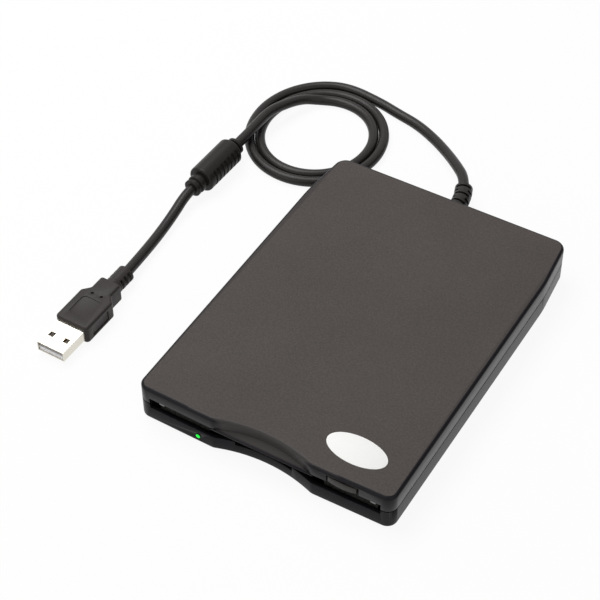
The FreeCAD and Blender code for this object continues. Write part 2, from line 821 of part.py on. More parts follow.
def make_frame():
    """Pressed steel pan that carries the mechanism, with an upright slot for each holder pin."""
    pan = block("frame_blank", ("-frame_half", "frame_half"), ("frame_front", "frame_rear"),
                ("frame_bottom", "frame_top"))
    inside = block("frame_inside", ("-frame_half + sheet", "frame_half - sheet"),
                   ("frame_front - 1", "frame_rear - sheet"), ("frame_floor", "frame_top + 1"))
    cuts = [inside]
    for name, across in (("left", ("-frame_half - 1", "-frame_half + sheet + 0.5")),
                         ("right", ("frame_half - sheet - 0.5", "frame_half + 1"))):
        for place_name, along in (("front", "pin_front"), ("rear", "pin_rear")):
            cuts.append(block("pin_slot_%s_%s" % (name, place_name), across,
                              (along + " - pin_radius - slot_clearance",
                               along + " + pin_radius + slot_clearance"),
                              ("pin_height - drop_travel - pin_radius - slot_clearance",
                               "pin_height + pin_radius + slot_clearance")))
    for number, (across, along) in enumerate(frame_screw_places):
        cuts.append(rod("frame_hole_%d" % number, "Z", (across, along, "frame_bottom - 1"),
                        "frame_screw_radius + screw_fit", "sheet + 2"))
    # Lightening windows in the floor, either side of the heads.
    for name, across in (("left", ("-frame_half + floor_window_inset",
                                  "-motor_board_half - floor_window_margin")),
                         ("right", ("motor_board_half + floor_window_margin",
                                    "frame_half - floor_window_inset"))):
        cuts.append(block("floor_window_" + name, across,
                          ("floor_window_front", "floor_window_front + floor_window_length"),
                          ("frame_bottom - 1", "frame_floor + 1")))
    opened = carve("frame_opened", pan, *cuts)
    shaft = rod("spindle_shaft", "Z", (0, "spindle_along", "frame_bottom"), "shaft_radius",
                "rotor_top - frame_bottom - 0.3")
    post = rod("lever_post", "Z", ("lever_across", "lever_along", "frame_bottom"), "lever_post",
               "lever_bottom + lever_sheet + 0.6 - frame_bottom")
    shoulder = rod("lever_shoulder", "Z", ("lever_across", "lever_along", "frame_bottom"),
                   "lever_post + 1", "lever_bottom - 0.3 - frame_bottom")
    rails = []
    for name, along in (("front", "rail_front"), ("rear", "rail_rear - rail_block")):
        rails.append(block("rail_block_" + name,
                           ("rail_across - rail_radius - rail_block_wall",
                            "rail_across + rail_radius + rail_block_wall"),
                           (along, along + " + rail_block"),
                           ("frame_floor - 0.1", "rail_height + rail_radius * 0.6")))
    whole = join("frame_joined", opened, shaft, post, shoulder, *rails)
    rail_hole = rod("rail_hole", "Y", ("rail_across", "rail_front - 1", "rail_height"),
                    "rail_radius + screw_fit", "rail_rear - rail_front + 2")
    done(carve("frame_finished", whole, rail_hole), "drive_frame")

    screws = []
    for number, (across, along) in enumerate(frame_screw_places):
        screws.append(join("frame_screw_%d" % number,
                           rod("frame_screw_head_%d" % number, "Z",
                               (across, along, "frame_floor"),
                               "frame_screw_head", "frame_screw_head_height"),
                           rod("frame_screw_shank_%d" % number, "Z",
                               (across, along, "frame_floor + 0.1 - frame_screw_depth"),
                               "frame_screw_radius", "frame_screw_depth")))
    group = doc.addObject("Part::Compound", "frame_screw_group")
    group.Links = screws
    done(group, "frame_screws")

    plate = block("shield_plate", ("-frame_half", "frame_half"), ("frame_front", "frame_rear"),
                  ("frame_top", "frame_top + shield_sheet"))
    window = block("shield_window", ("-shield_window / 2", "shield_window / 2"),
                   ("carriage_front + 3", "carriage_front + 3 + shield_window_length"),
                   ("frame_top - 1", "frame_top + shield_sheet + 1"))
    front_cut = block("shield_front_cut", ("tongue_left - 3", "tongue_right + 3"),
                      ("frame_front - 1", "frame_front + 6"),
                      ("frame_top - 1", "frame_top + shield_sheet + 1"))
    done(carve("shield_finished", plate, window, front_cut), "top_shield")


def make_holder():
    """Disk holder: a tray that hangs round the disk's edges, on four pins."""
    outer = block("holder_blank", ("-holder_half", "holder_half"), ("holder_front", "holder_rear"),
                  ("holder_lip_top - holder_sheet", "holder_top"))
    bay = block("holder_bay", ("-holder_half + holder_sheet", "holder_half - holder_sheet"),
                ("holder_front - 1", "holder_rear + 1"), ("holder_lip_top", "holder_top - holder_sheet"))
    under = block("holder_under", ("-holder_half + holder_lip", "holder_half - holder_lip"),
                  ("holder_front - 1", "holder_rear + 1"),
                  ("holder_lip_top - holder_sheet - 1", "holder_lip_top + 0.1"))
    window = block("holder_window", ("-holder_window_half", "holder_window_half"),
                   ("holder_window_front", "holder_rear + 1"),
                   ("holder_top - holder_sheet - 1", "holder_top + 1"))
    tray = carve("holder_tray", outer, bay, under, window)
    pins = []
    for number, along in enumerate(("pin_front", "pin_rear")):
        pins.append(rod("holder_pin_right_%d" % number, "X",
                        ("holder_half - holder_sheet", along, "pin_height"), "pin_radius",
                        "frame_half - holder_half + holder_sheet - 0.1"))
        pins.append(rod("holder_pin_left_%d" % number, "X",
                        ("-frame_half + 0.1", along, "pin_height"), "pin_radius",
                        "frame_half - holder_half + holder_sheet - 0.1"))
    done(join("holder_finished", tray, *pins), "disk_holder")

    strips = []
    for name, across in (("left", "-holder_half + spring_strip_inset"),
                         ("right", "holder_half - spring_strip_inset")):
        strips.append(block("holder_spring_" + name,
                            (across + " - spring_strip_width / 2", across + " + spring_strip_width / 2"),
                            ("pin_front", "pin_front + spring_strip_length"),
                            ("holder_top", "holder_top + spring_strip_sheet")))
    group = doc.addObject("Part::Compound", "holder_spring_group")
    group.Links = strips
    done(group, "holder_springs")


def make_slider():
    """Eject slider: a frame plate whose side arms lift the holder's pins along sloped slots."""
    plate = block("slider_plate", ("-slider_half", "slider_half"), ("slider_front", "slider_rear"),
                  ("slider_bottom", "slider_bottom + slider_sheet"))
    window = block("slider_window", ("-slider_window_half", "slider_window_half"),
                   ("slider_window_front", "slider_window_rear"),
                   ("slider_bottom - 1", "slider_bottom + slider_sheet + 1"))
    rear_cut = block("slider_rear_cut", ("-slider_window_half + 16", "slider_window_half - 16"),
                     ("slider_window_rear - 1", "slider_rear + 1"),
                     ("slider_bottom - 1", "slider_bottom + slider_sheet + 1"))
    ring = carve("slider_ring", plate, window, rear_cut)
    arms = [block("slider_arm_left", ("-slider_half", "-slider_half + slider_sheet"),
                  ("slider_front", "slider_rear"), ("slider_arm_bottom", "slider_bottom + 0.1")),
            block("slider_arm_right", ("slider_half - slider_sheet", "slider_half"),
                  ("slider_front", "slider_rear"), ("slider_arm_bottom", "slider_bottom + 0.1"))]
    tongue = block("slider_tongue", ("tongue_left", "tongue_right"), ("tongue_front", "slider_front + 1"),
                   ("slider_bottom", "slider_bottom + slider_sheet"))
    whole = join("slider_joined", ring, *arms, tongue)

    # Each sloped slot is the pin's own path in the slider's frame, with clearance.
    reach = size.pin_radius + size.slot_clearance
    slots = []
    for number, along in enumerate((size.pin_front, size.pin_rear)):
        top = Vector(0, along, size.pin_height)
        low = top + Vector(0, size.eject_travel, -size.drop_travel)
        side = (low - top).normalize().cross(Vector(1, 0, 0)).normalize() * reach
        block_face = Part.Face(Part.makePolygon([top + side, low + side, low - side, top - side,
                                                 top + side]))
        width = 2 * size.frame_half
        start = Vector(-size.frame_half, 0, 0)
        bar = block_face.extrude(Vector(width, 0, 0))
        bar.translate(start)
        for spot in (top, low):
            bar = bar.fuse(Part.makeCylinder(reach, width, spot + start, Vector(1, 0, 0)))
        cut = doc.addObject("Part::Feature", "cam_slot_%d" % number)
        cut.Shape = bar
        slots.append(cut)
    done(carve("slider_finished", whole, *slots), "eject_slider")


def make_button():
    """Eject button: bulged face, with a stem that is pressed on the slider's tongue."""
    body = doc.addObject("PartDesign::Body", "button_body")
    left = size.button_left
    right = size.button_right
    middle = (left + right) / 2
    face_y = front + size.button_setback
    back_y = face_y + size.button_depth
    outline = [
        Part.Arc(Vector(left, face_y, 0), Vector(middle, face_y - size.button_bulge, 0),
                 Vector(right, face_y, 0)),
        line((right, face_y, 0), (right, back_y, 0)),
        line((right, back_y, 0), (left, back_y, 0)),
        line((left, back_y, 0), (left, face_y, 0))]
    cap = add_sketch(body, "button_plan", "XY_Plane", outline, "button_bottom")
    head = pad(body, "button_head", cap, "button_top - button_bottom")
    doc.recompute()
    soft = body.newObject("PartDesign::Fillet", "button_soft")
    soft.Base = (head, ["Edge%d" % (number + 1) for number, edge in enumerate(head.Shape.Edges)
                        if edge.Curve.TypeId == "Part::GeomCircle"])
    bind(soft, Radius="button_soft")
    stem = block("button_stem", ("button_left + stem_inset", "button_right - stem_inset"),
                 ("front_plane + button_setback + button_depth - 0.4", "tongue_front + 1.8"),
                 ("stem_bottom", "button_top - 0.4"))
    socket = block("button_socket", ("tongue_left", "tongue_right"), ("tongue_front", "tongue_front + 3"),
                   ("slider_bottom", "slider_bottom + slider_sheet"))
    done(carve("button_finished", join("button_joined", body, stem), socket), "eject_button")


def make_spindle():
    """Flat disk motor: board with its coils, rotor with a rim, hub and drive pin."""
    board = block("motor_board_blank", ("-motor_board_half", "motor_board_half"),
                  ("spindle_along - motor_board_half", "spindle_along + motor_board_half - 8"),
                  ("frame_floor", "frame_floor + motor_board_sheet"))
    hole = rod("motor_board_hole", "Z", (0, "spindle_along", "frame_bottom"), "shaft_radius + 1", "5")
    coils = []
    for number in range(size.coil_count):
        angle = 2 * math.pi * number / size.coil_count
        ring = Part.makeCylinder(size.coil_radius, size.coil_height).cut(
            Part.makeCylinder(size.coil_bore, size.coil_height))
        coil = doc.addObject("Part::Feature", "motor_coil_%d" % number)
        coil.Shape = ring
        coil.Placement = Placement(Vector(size.coil_ring * math.cos(angle),
                                          size.spindle_along + size.coil_ring * math.sin(angle),
                                          size.frame_floor + size.motor_board_sheet),
                                   Rotation())
        coils.append(coil)
    done(join("motor_board_finished", carve("motor_board_drilled", board, hole), *coils), "motor_board")

    body = doc.addObject("PartDesign::Body", "rotor_body")
    low = size.rotor_bottom
    top = low + size.rotor_height
    rim = size.rotor_radius - size.rotor_rim
    bore = size.shaft_radius + size.shaft_fit
    section = polygon([(bore, low + 0.3), (rim, low + 0.3), (rim, low), (size.rotor_radius, low),
                       (size.rotor_radius, top - 0.5), (size.rotor_radius - 0.5, top), (bore, top)])
    sketch = add_sketch(body, "rotor_section", "XZ_Plane", section)
    turn = body.newObject("PartDesign::Revolution", "rotor_turned")
    turn.Profile = sketch
    turn.ReferenceAxis = (sketch, ["V_Axis"])
    turn.Angle = 360
    place(body, 0, "spindle_along", 0)
    done(body, "spindle_rotor")

    plate = rod("hub_plate", "Z", (0, "spindle_along", "rotor_top"),
                "hub_radius", "hub_height")
    stub = rod("hub_stub", "Z", (0, "spindle_along", "rotor_top"), "shaft_radius",
               "hub_height + drive_pin_height")
    pin = rod("drive_pin", "Z", ("drive_pin_offset", "spindle_along", "rotor_top"),
              "drive_pin_radius", "hub_height + drive_pin_height")
    done(join("hub_finished", plate, stub, pin), "spindle_hub")


def make_heads():
    """Head carriage on its rail, the lead screw with its motor, and the hinged upper arm."""
    plate = block("carriage_plate", ("-carriage_half", "carriage_half"),
                  ("carriage_rear - carriage_depth", "carriage_rear"),
                  ("carriage_bottom", "carriage_plate_top"))
    nose = block("carriage_nose", ("-carriage_nose_half", "carriage_nose_half"),
                 ("carriage_front", "carriage_rear - carriage_depth + 1"),
                 ("carriage_bottom", "carriage_plate_top"))
    sleeve = rod("rail_sleeve", "Y", ("rail_across", "carriage_rear - carriage_depth", "rail_height"),
                 "rail_sleeve", "carriage_depth")
    riser = block("carriage_riser", ("-riser_half", "riser_half"), ("riser_front", "carriage_rear"),
                  ("carriage_bottom", "riser_top"))
    cheeks = [block("arm_cheek_left", ("-arm_half - arm_gap - arm_cheek", "-arm_half - arm_gap"),
                    ("arm_axis_along - 1.6", "arm_axis_along + 1.6"),
                    ("riser_top - 0.1", "arm_axis_height + 1.2")),
              block("arm_cheek_right", ("arm_half + arm_gap", "arm_half + arm_gap + arm_cheek"),
                    ("arm_axis_along - 1.6", "arm_axis_along + 1.6"),
                    ("riser_top - 0.1", "arm_axis_height + 1.2"))]
    follower = block("screw_follower", ("screw_across - follower_half", "-riser_half + 0.1"),
                     ("carriage_rear - 3", "carriage_rear"), ("carriage_bottom", "riser_top"))
    whole = join("carriage_joined", plate, nose, sleeve, riser, follower, *cheeks)
    rail_bore = rod("carriage_bore", "Y", ("rail_across", "carriage_front", "rail_height"),
                    "rail_radius + rail_fit", "carriage_rear - carriage_front + 1")
    screw_way = rod("carriage_screw_way", "Y", ("screw_across", "carriage_rear - 4", "screw_height"),
                    "screw_radius + rail_fit", "6")
    pin_hole = rod("arm_pin_hole", "X", ("-arm_half - 3", "arm_axis_along", "arm_axis_height"),
                   "arm_pin + arm_pin_fit", "2 * arm_half + 6")
    done(carve("carriage_finished", whole, rail_bore, screw_way, pin_hole), "head_carriage")

    done(block("lower_head_block", ("-head_half", "head_half"),
               ("head_along - head_half", "head_along + head_half"),
               ("carriage_plate_top", "carriage_plate_top + head_height")), "lower_head")

    arm_plate = block("arm_plate", ("-arm_half", "arm_half"), ("arm_front", "arm_axis_along"),
                      ("arm_axis_height + arm_lift", "arm_axis_height + arm_lift + arm_sheet"))
    arm_barrel = rod("arm_barrel", "X", ("-arm_half", "arm_axis_along", "arm_axis_height"),
                     "arm_sheet + arm_lift", "2 * arm_half")
    arm_pin = rod("arm_pin", "X", ("-arm_half - 1.7", "arm_axis_along", "arm_axis_height"),
                  "arm_pin", "2 * arm_half + 3.4")
    slot = block("arm_slot", ("-arm_half + 2.5", "arm_half - 2.5"), ("arm_front + 5", "arm_axis_along - 6"),
                 ("arm_axis_height - 1", "arm_axis_height + 3"))
    done(join("arm_finished", carve("arm_slotted", arm_plate, slot), arm_barrel, arm_pin),
         "upper_head_arm")
    done(block("upper_head_block", ("-head_half", "head_half"),
               ("head_along - head_half", "head_along + head_half"),
               ("arm_axis_height + arm_lift - upper_head_height", "arm_axis_height + arm_lift")),
         "upper_head")

    done(rod("guide_rail", "Y", ("rail_across", "rail_front", "rail_height"), "rail_radius",
             "rail_rear - rail_front"), "guide_rod")

    motor = join("motor_joined",
                 rod("motor_can", "Y", ("screw_across", "motor_front", "screw_height"),
                     "motor_radius", "motor_length"),
                 rod("motor_nose", "Y", ("screw_across", "motor_front - motor_nose", "screw_height"),
                     "motor_collar", "motor_nose + 0.2"))
    bracket = block("motor_bracket",
                    ("screw_across - motor_radius - 1.5", "screw_across + motor_radius + 1.5"),
                    ("motor_front + 1", "motor_front + motor_length - 1"),
                    ("frame_floor", "screw_height - motor_radius * 0.72"))
    done(join("motor_on_bracket", motor, bracket), "stepper_motor")

    # The lead screw is turned with a shallow groove at each pitch.
    grooves = []
    start = size.screw_front + size.screw_pitch / 2
    end = size.motor_front - size.motor_nose - size.screw_gap
    steps = int((end - start) / (size.screw_pitch / 2))
    for number in range(steps):
        ring = Part.makeCylinder(size.screw_radius + 1, size.screw_groove * 2,
                                 Vector(0, start + number * size.screw_pitch / 2, 0), Vector(0, 1, 0))
        ring = ring.cut(Part.makeCylinder(size.screw_radius - size.screw_groove, size.screw_groove * 2,
                                          Vector(0, start + number * size.screw_pitch / 2, 0),
                                          Vector(0, 1, 0)))
        groove = doc.addObject("Part::Feature", "screw_groove_%d" % number)
        groove.Shape = ring
        groove.Placement = Placement(Vector(size.screw_across, 0, size.screw_height), Rotation())
        grooves.append(groove)
    bar = rod("screw_bar", "Y", ("screw_across", "screw_front", "screw_height"), "screw_radius",
              "motor_front - motor_nose - screw_gap - screw_front")
    done(carve("screw_finished", bar, *grooves), "lead_screw")


def make_lever():
    """Shutter lever: a cranked arm on a post, moved by the disk's front edge."""
    arm = block("lever_arm", ("0", "lever_length"), ("-lever_width / 2", "lever_width / 2"),
                ("0", "lever_sheet"))
    eye = rod("lever_eye", "Z", (0, 0, 0), "lever_post + 2", "lever_sheet")
    tip = rod("lever_tip", "Z", ("lever_length", 0, 0), "lever_width / 2", "lever_sheet")
    heel = block("lever_heel", ("-1.5", "1.5"), ("-7.5", "0"), ("0", "lever_sheet"))
    hole = rod("lever_hole", "Z", (0, 0, "-1"), "lever_post + lever_post_fit", "lever_sheet + 2")
    lever = carve("lever_finished", join("lever_joined", arm, eye, tip, heel), hole)
    lever.Placement = Placement(Vector(size.lever_across, size.lever_along, size.lever_bottom),
                                Rotation(Vector(0, 0, 1), size.lever_turn))
    done(lever, "shutter_lever")


def make_boards():
    """Control board and cord board on the frame's floor, joined by a flat cable."""
    far = "board_rear"
    top = "board_bottom + board_sheet"
    for label, left, right, near in (("control_board", "control_left", "control_right", "control_front"),
                                     ("usb_board", "usb_left", "usb_right", "usb_front")):
        board = block(label + "_sheet", (left, right), (near, far), ("board_bottom", top))
        spacers = [block("%s_spacer_%d" % (label, number), (a, a + " + 3"), (b, b + " + 3"),
                         ("frame_floor", "board_bottom"))
                   for number, (a, b) in enumerate(((left, near), (right + " - 3", far + " - 3"),
                                                    (left, far + " - 3"), (right + " - 3", near)))]
        done(join(label + "_finished", board, *spacers), label)
    chips = [block("control_chip_%d" % number, ("control_left + 3", "control_left + 3 + chip_side"),
                   (along, along + " + chip_side"), (top, top + " + chip_height"))
             for number, along in enumerate(("control_front + 1", "control_front + chip_side + 2"))]
    chips.append(block("usb_chip", ("usb_left + 4", "usb_left + 4 + chip_side"),
                       ("usb_front + 3", "usb_front + 3 + chip_side"),
                       (top, top + " + chip_height")))
    group = doc.addObject("Part::Compound", "chip_group")
    group.Links = chips
    done(group, "chips")
    can = block("can_blank", ("usb_left + 3", "usb_left + 3 + can_length"),
                ("usb_front + 3.6 + chip_side", "usb_front + 3.6 + chip_side + can_width"),
                (top, top + " + can_height"))
    upright = doc.addObject("Part::Fillet", "can_rounded")
    upright.Base = can
    doc.recompute()
    upright.Edges = [(number + 1, size.can_width * 0.45, size.can_width * 0.45)
                     for number, edge in enumerate(can.Shape.Edges)
                     if abs(edge.tangentAt(edge.FirstParameter).z) > 0.9]
    done(upright, "crystal_can")
    sockets = []
    for name, left, right in (("control", "control_left", "control_right"),
                              ("usb", "usb_left", "usb_right")):
        middle = "(%s + %s) / 2" % (left, right)
        sockets.append(block(name + "_socket",
                             (middle + " - socket_depth / 2", middle + " + socket_depth / 2"),
                             ("socket_front", "socket_rear"), (top, top + " + socket_height")))
    group = doc.addObject("Part::Compound", "socket_group")
    group.Links = sockets
    done(group, "cable_sockets")

    # The flat cable rises from one socket, crosses over the stepper motor and drops to the other.
    usb_middle = (size.usb_left + size.usb_right) / 2
    control_middle = (size.control_left + size.control_right) / 2
    foot = size.board_bottom + size.board_sheet + size.socket_height
    thick = size.ribbon_sheet
    top_z = size.ribbon_height
    y_front = size.socket_front + size.ribbon_edge
    outline = [(usb_middle - thick / 2, foot), (usb_middle + thick / 2, foot),
               (usb_middle + thick / 2, top_z - thick), (control_middle - thick / 2, top_z - thick),
               (control_middle - thick / 2, foot), (control_middle + thick / 2, foot),
               (control_middle + thick / 2, top_z), (usb_middle - thick / 2, top_z)]
    ribbon = doc.addObject("Part::Feature", "ribbon")
    wire = Part.makePolygon([Vector(x, y_front, z) for x, z in outline + outline[:1]])
    ribbon.Shape = Part.Face(wire).extrude(Vector(0, size.socket_width - 2 * size.ribbon_edge, 0))
    done(ribbon, "flat_cable")


def turned(name, section):
    """A solid turned about its own Z axis from (radius, height) corners."""
    wire = Part.makePolygon([Vector(r, 0, z) for r, z in section + section[:1]])
    item = doc.addObject("Part::Feature", name)
    item.Shape = Part.Face(wire).revolve(Vector(), Vector(0, 0, 1), 360)
    return item


def relief_spot(distance):
    """Place and heading on the relief's line: straight out of the wall, then bent to the left."""
    start = Vector(0, rear, size.relief_height)
    if distance <= size.relief_straight:
        return start + Vector(0, distance, 0), Vector(0, 1, 0)
    swing = math.radians(size.relief_turn)
    radius = size.relief_bent / swing
    angle = (distance - size.relief_straight) / radius
    return (start + Vector(-radius * (1 - math.cos(angle)),
                           size.relief_straight + radius * math.sin(angle), 0),
            Vector(-math.sin(angle), math.cos(angle), 0))


def make_relief():
    """Moulded relief: a flange inside the wall, a bent core with rings, and a plain cap."""
    reach = size.relief_straight + size.relief_bent
    wall_start = Vector(0, rear - size.wall, size.relief_height)
    out = Vector(0, 1, 0)
    flange = Part.makeCylinder(size.relief_flange, size.relief_flange_thickness,
                               wall_start - out * size.relief_flange_thickness, out)
    root = Part.makeCylinder(size.relief_radius, size.wall + 1.5, wall_start, out)
    bend_start, _ = relief_spot(size.relief_straight)
    bend_middle, _ = relief_spot(size.relief_straight + size.relief_bent / 2)
    end, heading = relief_spot(reach)
    line_of_core = Part.Wire([Part.LineSegment(wall_start, bend_start).toShape(),
                              Part.Arc(bend_start, bend_middle, end).toShape()])
    core_radius = size.relief_radius - size.relief_groove
    circle = Part.Wire(Part.makeCircle(core_radius, wall_start, out))
    body = line_of_core.makePipeShell([circle], True, False).fuse([flange, root])
    step = (reach - 5.5) / size.relief_ribs
    for number in range(size.relief_ribs):
        spot_at, way = relief_spot(2.4 + number * step)
        radius = size.relief_radius - size.relief_taper * number
        body = body.fuse(Part.makeCylinder(radius, step * 0.6, spot_at, way))
    spot_at, way = relief_spot(reach - 2.6)
    body = body.fuse(Part.makeCylinder(size.relief_tip, 2.0, spot_at, way))
    item = doc.addObject("Part::Feature", "relief_moulding")
    item.Shape = body
    done(item, "cable_relief")
    return end, heading


def rounded_path(points):
    """Straight runs joined by tangent arcs, as large as the runs beside each point allow."""
    spots = [Vector(*point) for point in points]
    edges = []
    radii = []
    last = spots[0]
    for before, here, after in zip(spots, spots[1:], spots[2:]):
        into = (here - before).normalize()
        out = (after - here).normalize()
        half = math.acos(max(-1, min(1, into.dot(out)))) / 2
        cut = 0.45 * min((here - before).Length, (after - here).Length)
        radius = cut / math.tan(half)
        radii.append(radius)
        middle = here + (out - into).normalize() * (radius / math.cos(half) - radius)
        start = here - into * cut
        end = here + out * cut
        edges.append(Part.LineSegment(last, start).toShape())
        edges.append(Part.Arc(start, middle, end).toShape())
        last = end
    edges.append(Part.LineSegment(last, spots[-1]).toShape())
    return Part.Wire(edges), radii


def tube(name, wire, start, direction):
    circle = Part.Wire(Part.makeCircle(size.cord_radius, start, direction))
    item = doc.addObject("Part::Feature", name)
    item.Shape = wire.makePipeShell([circle], True, False)
    return item


def cord_stretch(name, points):
    wire, radii = rounded_path(points)
    start = Vector(*points[0])
    item = tube(name, wire, start, Vector(*points[1]) - start)
    section = math.pi * size.cord_radius ** 2
    print(name, "length %.1f" % wire.Length, "radii", ["%.0f" % radius for radius in radii],
          "volume ratio %.4f" % (item.Shape.Volume / (section * wire.Length)))
    done(item, name)
    return wire.Length


def eased(value):
    value = max(0.0, min(1.0, value))
    return value * value * (3 - 2 * value)


def coil_point(angle):
    """A flat spiral that runs inwards, a little out of round, and climbs over itself at its end."""
    swing = math.radians(angle)
    climb = eased((angle - size.climb_start) / size.climb_span)
    reach = (size.coil_reach - size.coil_pitch * angle / 360 - size.coil_oval * math.cos(2 * swing)
             + size.coil_shift_across * math.cos(swing) + size.coil_shift_along * math.sin(swing)
             + size.climb_spread * eased((angle - size.climb_start - 20) / size.climb_span))
    return Vector(size.coil_across + reach * math.cos(swing),
                  size.coil_along + reach * math.sin(swing),
                  size.cord_radius + size.climb_rise * climb)


def coil_heading(angle):
    return (coil_point(angle + 0.05) - coil_point(angle - 0.05)).normalize()


def biarc(first, leaving, second, arriving):
    """Two arcs, tangent to each other and to the headings at both ends."""
    gap = second - first
    total = leaving + arriving
    a = 2 * (1 - leaving.dot(arriving))
    b = 2 * gap.dot(total)
    c = -gap.dot(gap)
    reach = -c / b if abs(a) < 1e-9 else (-b + math.sqrt(b * b - 4 * a * c)) / (2 * a)
    middle = (first + leaving * reach + second - arriving * reach) * 0.5
    arcs = []
    for start, heading, end in ((first, leaving, middle), (middle, None, second)):
        if heading is None:
            heading = ((middle - (first + leaving * reach)).normalize())
        chord = end - start
        along = chord.dot(heading)
        across = chord - heading * along
        radius = chord.Length ** 2 / (2 * across.Length)
        centre = start + across.normalize() * radius
        half = ((start - centre) + (end - centre)).normalize() * radius
        arcs.append(Part.Arc(start, centre + half, end).toShape())
    return arcs


def make_coil():
    """The coil's turns, worked out by a loop of biarcs, with a straight run at each end."""
    total = 360 * size.coil_turns
    quarters = int(math.ceil(total / 90))
    step = total / quarters
    angles = [size.coil_start + step * number for number in range(quarters + 1)]
    diameter = 2 * size.cord_radius
    start = coil_point(angles[0]) - coil_heading(angles[0]) * diameter
    end = coil_point(angles[-1]) + coil_heading(angles[-1]) * diameter
    edges = [Part.LineSegment(start, coil_point(angles[0])).toShape()]
    for first, second in zip(angles, angles[1:]):
        edges += biarc(coil_point(first), coil_heading(first), coil_point(second), coil_heading(second))
    edges.append(Part.LineSegment(coil_point(angles[-1]), end).toShape())
    wire = Part.Wire(edges)
    item = tube("coil_tube", wire, start, coil_heading(angles[0]))
    fine = [coil_point(angles[0] + 3 * number) for number in range(int(total / 3) + 1)]
    least = min((fine[a] - fine[b]).Length for a in range(len(fine)) for b in range(a + 60, len(fine)))
    section = math.pi * size.cord_radius ** 2
    print("cord_coil length %.1f" % wire.Length, "least gap to itself %.2f" % (least - diameter),
          "volume ratio %.4f" % (item.Shape.Volume / (section * wire.Length)))
    done(item, "cord_coil")
    return start, end, wire.Length, coil_heading(angles[0]), coil_heading(angles[-1])


def along_choke(distance):
    yaw = math.radians(size.choke_yaw)
    lift = math.radians(size.choke_lift)
    way = Vector(math.sin(yaw) * math.cos(lift), math.cos(yaw) * math.cos(lift), math.sin(lift))
    return Vector(size.choke_across, size.choke_along, size.choke_height) + way * distance, way


def make_choke():
    """Moulded cover with ribbed ends round a ferrite sleeve, both on the cord's own line."""
    length = size.choke_length
    start = size.choke_body_start
    stop = start + size.choke_body
    neck = size.choke_neck
    collar = size.choke_collar
    body = size.choke_radius
    gap = size.core_gap
    core = size.core_radius + gap
    core_start = start + (size.choke_body - size.core_length) / 2 - gap
    core_stop = core_start + size.core_length + 2 * gap
    section = [(0, 0), (neck - 0.4, 0), (neck, 0.4), (neck, 1.5), (neck - 0.5, 1.7), (neck - 0.5, 2.5),
               (collar, 2.8), (collar, start - 1.0), (body - 0.6, start), (body, start + 0.8),
               (body, stop - 0.8), (body - 0.6, stop), (collar, stop + 0.6), (collar, length - 2.0),
               (neck, length - 1.8), (neck, length - 0.4), (neck - 0.4, length), (0, length)]
    solid = turned("choke_outside", section)
    cavity = turned("choke_cavity", [(0, core_start), (core, core_start), (core, core_stop),
                                     (0, core_stop)])
    cover = carve("choke_cover", solid, cavity)
    base, way = along_choke(0)
    turn = Rotation(Vector(0, 0, 1), way)
    cover.Placement = Placement(base, turn)
    done(cover, "ferrite_cover")
    sleeve = turned("choke_core", [(1.5, core_start + gap), (size.core_radius, core_start + gap),
                                   (size.core_radius, core_stop - gap), (1.5, core_stop - gap)])
    sleeve.Placement = Placement(base, turn)
    done(sleeve, "ferrite_core")


def plug_place():
    return Placement(Vector(size.plug_across, size.plug_along, size.plug_height),
                     Rotation(Vector(0, 0, 1), -size.plug_yaw))


def plug_end():
    reach = (size.plug_body_length + size.plug_shoulder + size.plug_neck_length
             + size.plug_relief_length)
    return plug_place().multVec(Vector(0, reach, 0)), plug_place().Rotation.multVec(Vector(0, 1, 0))


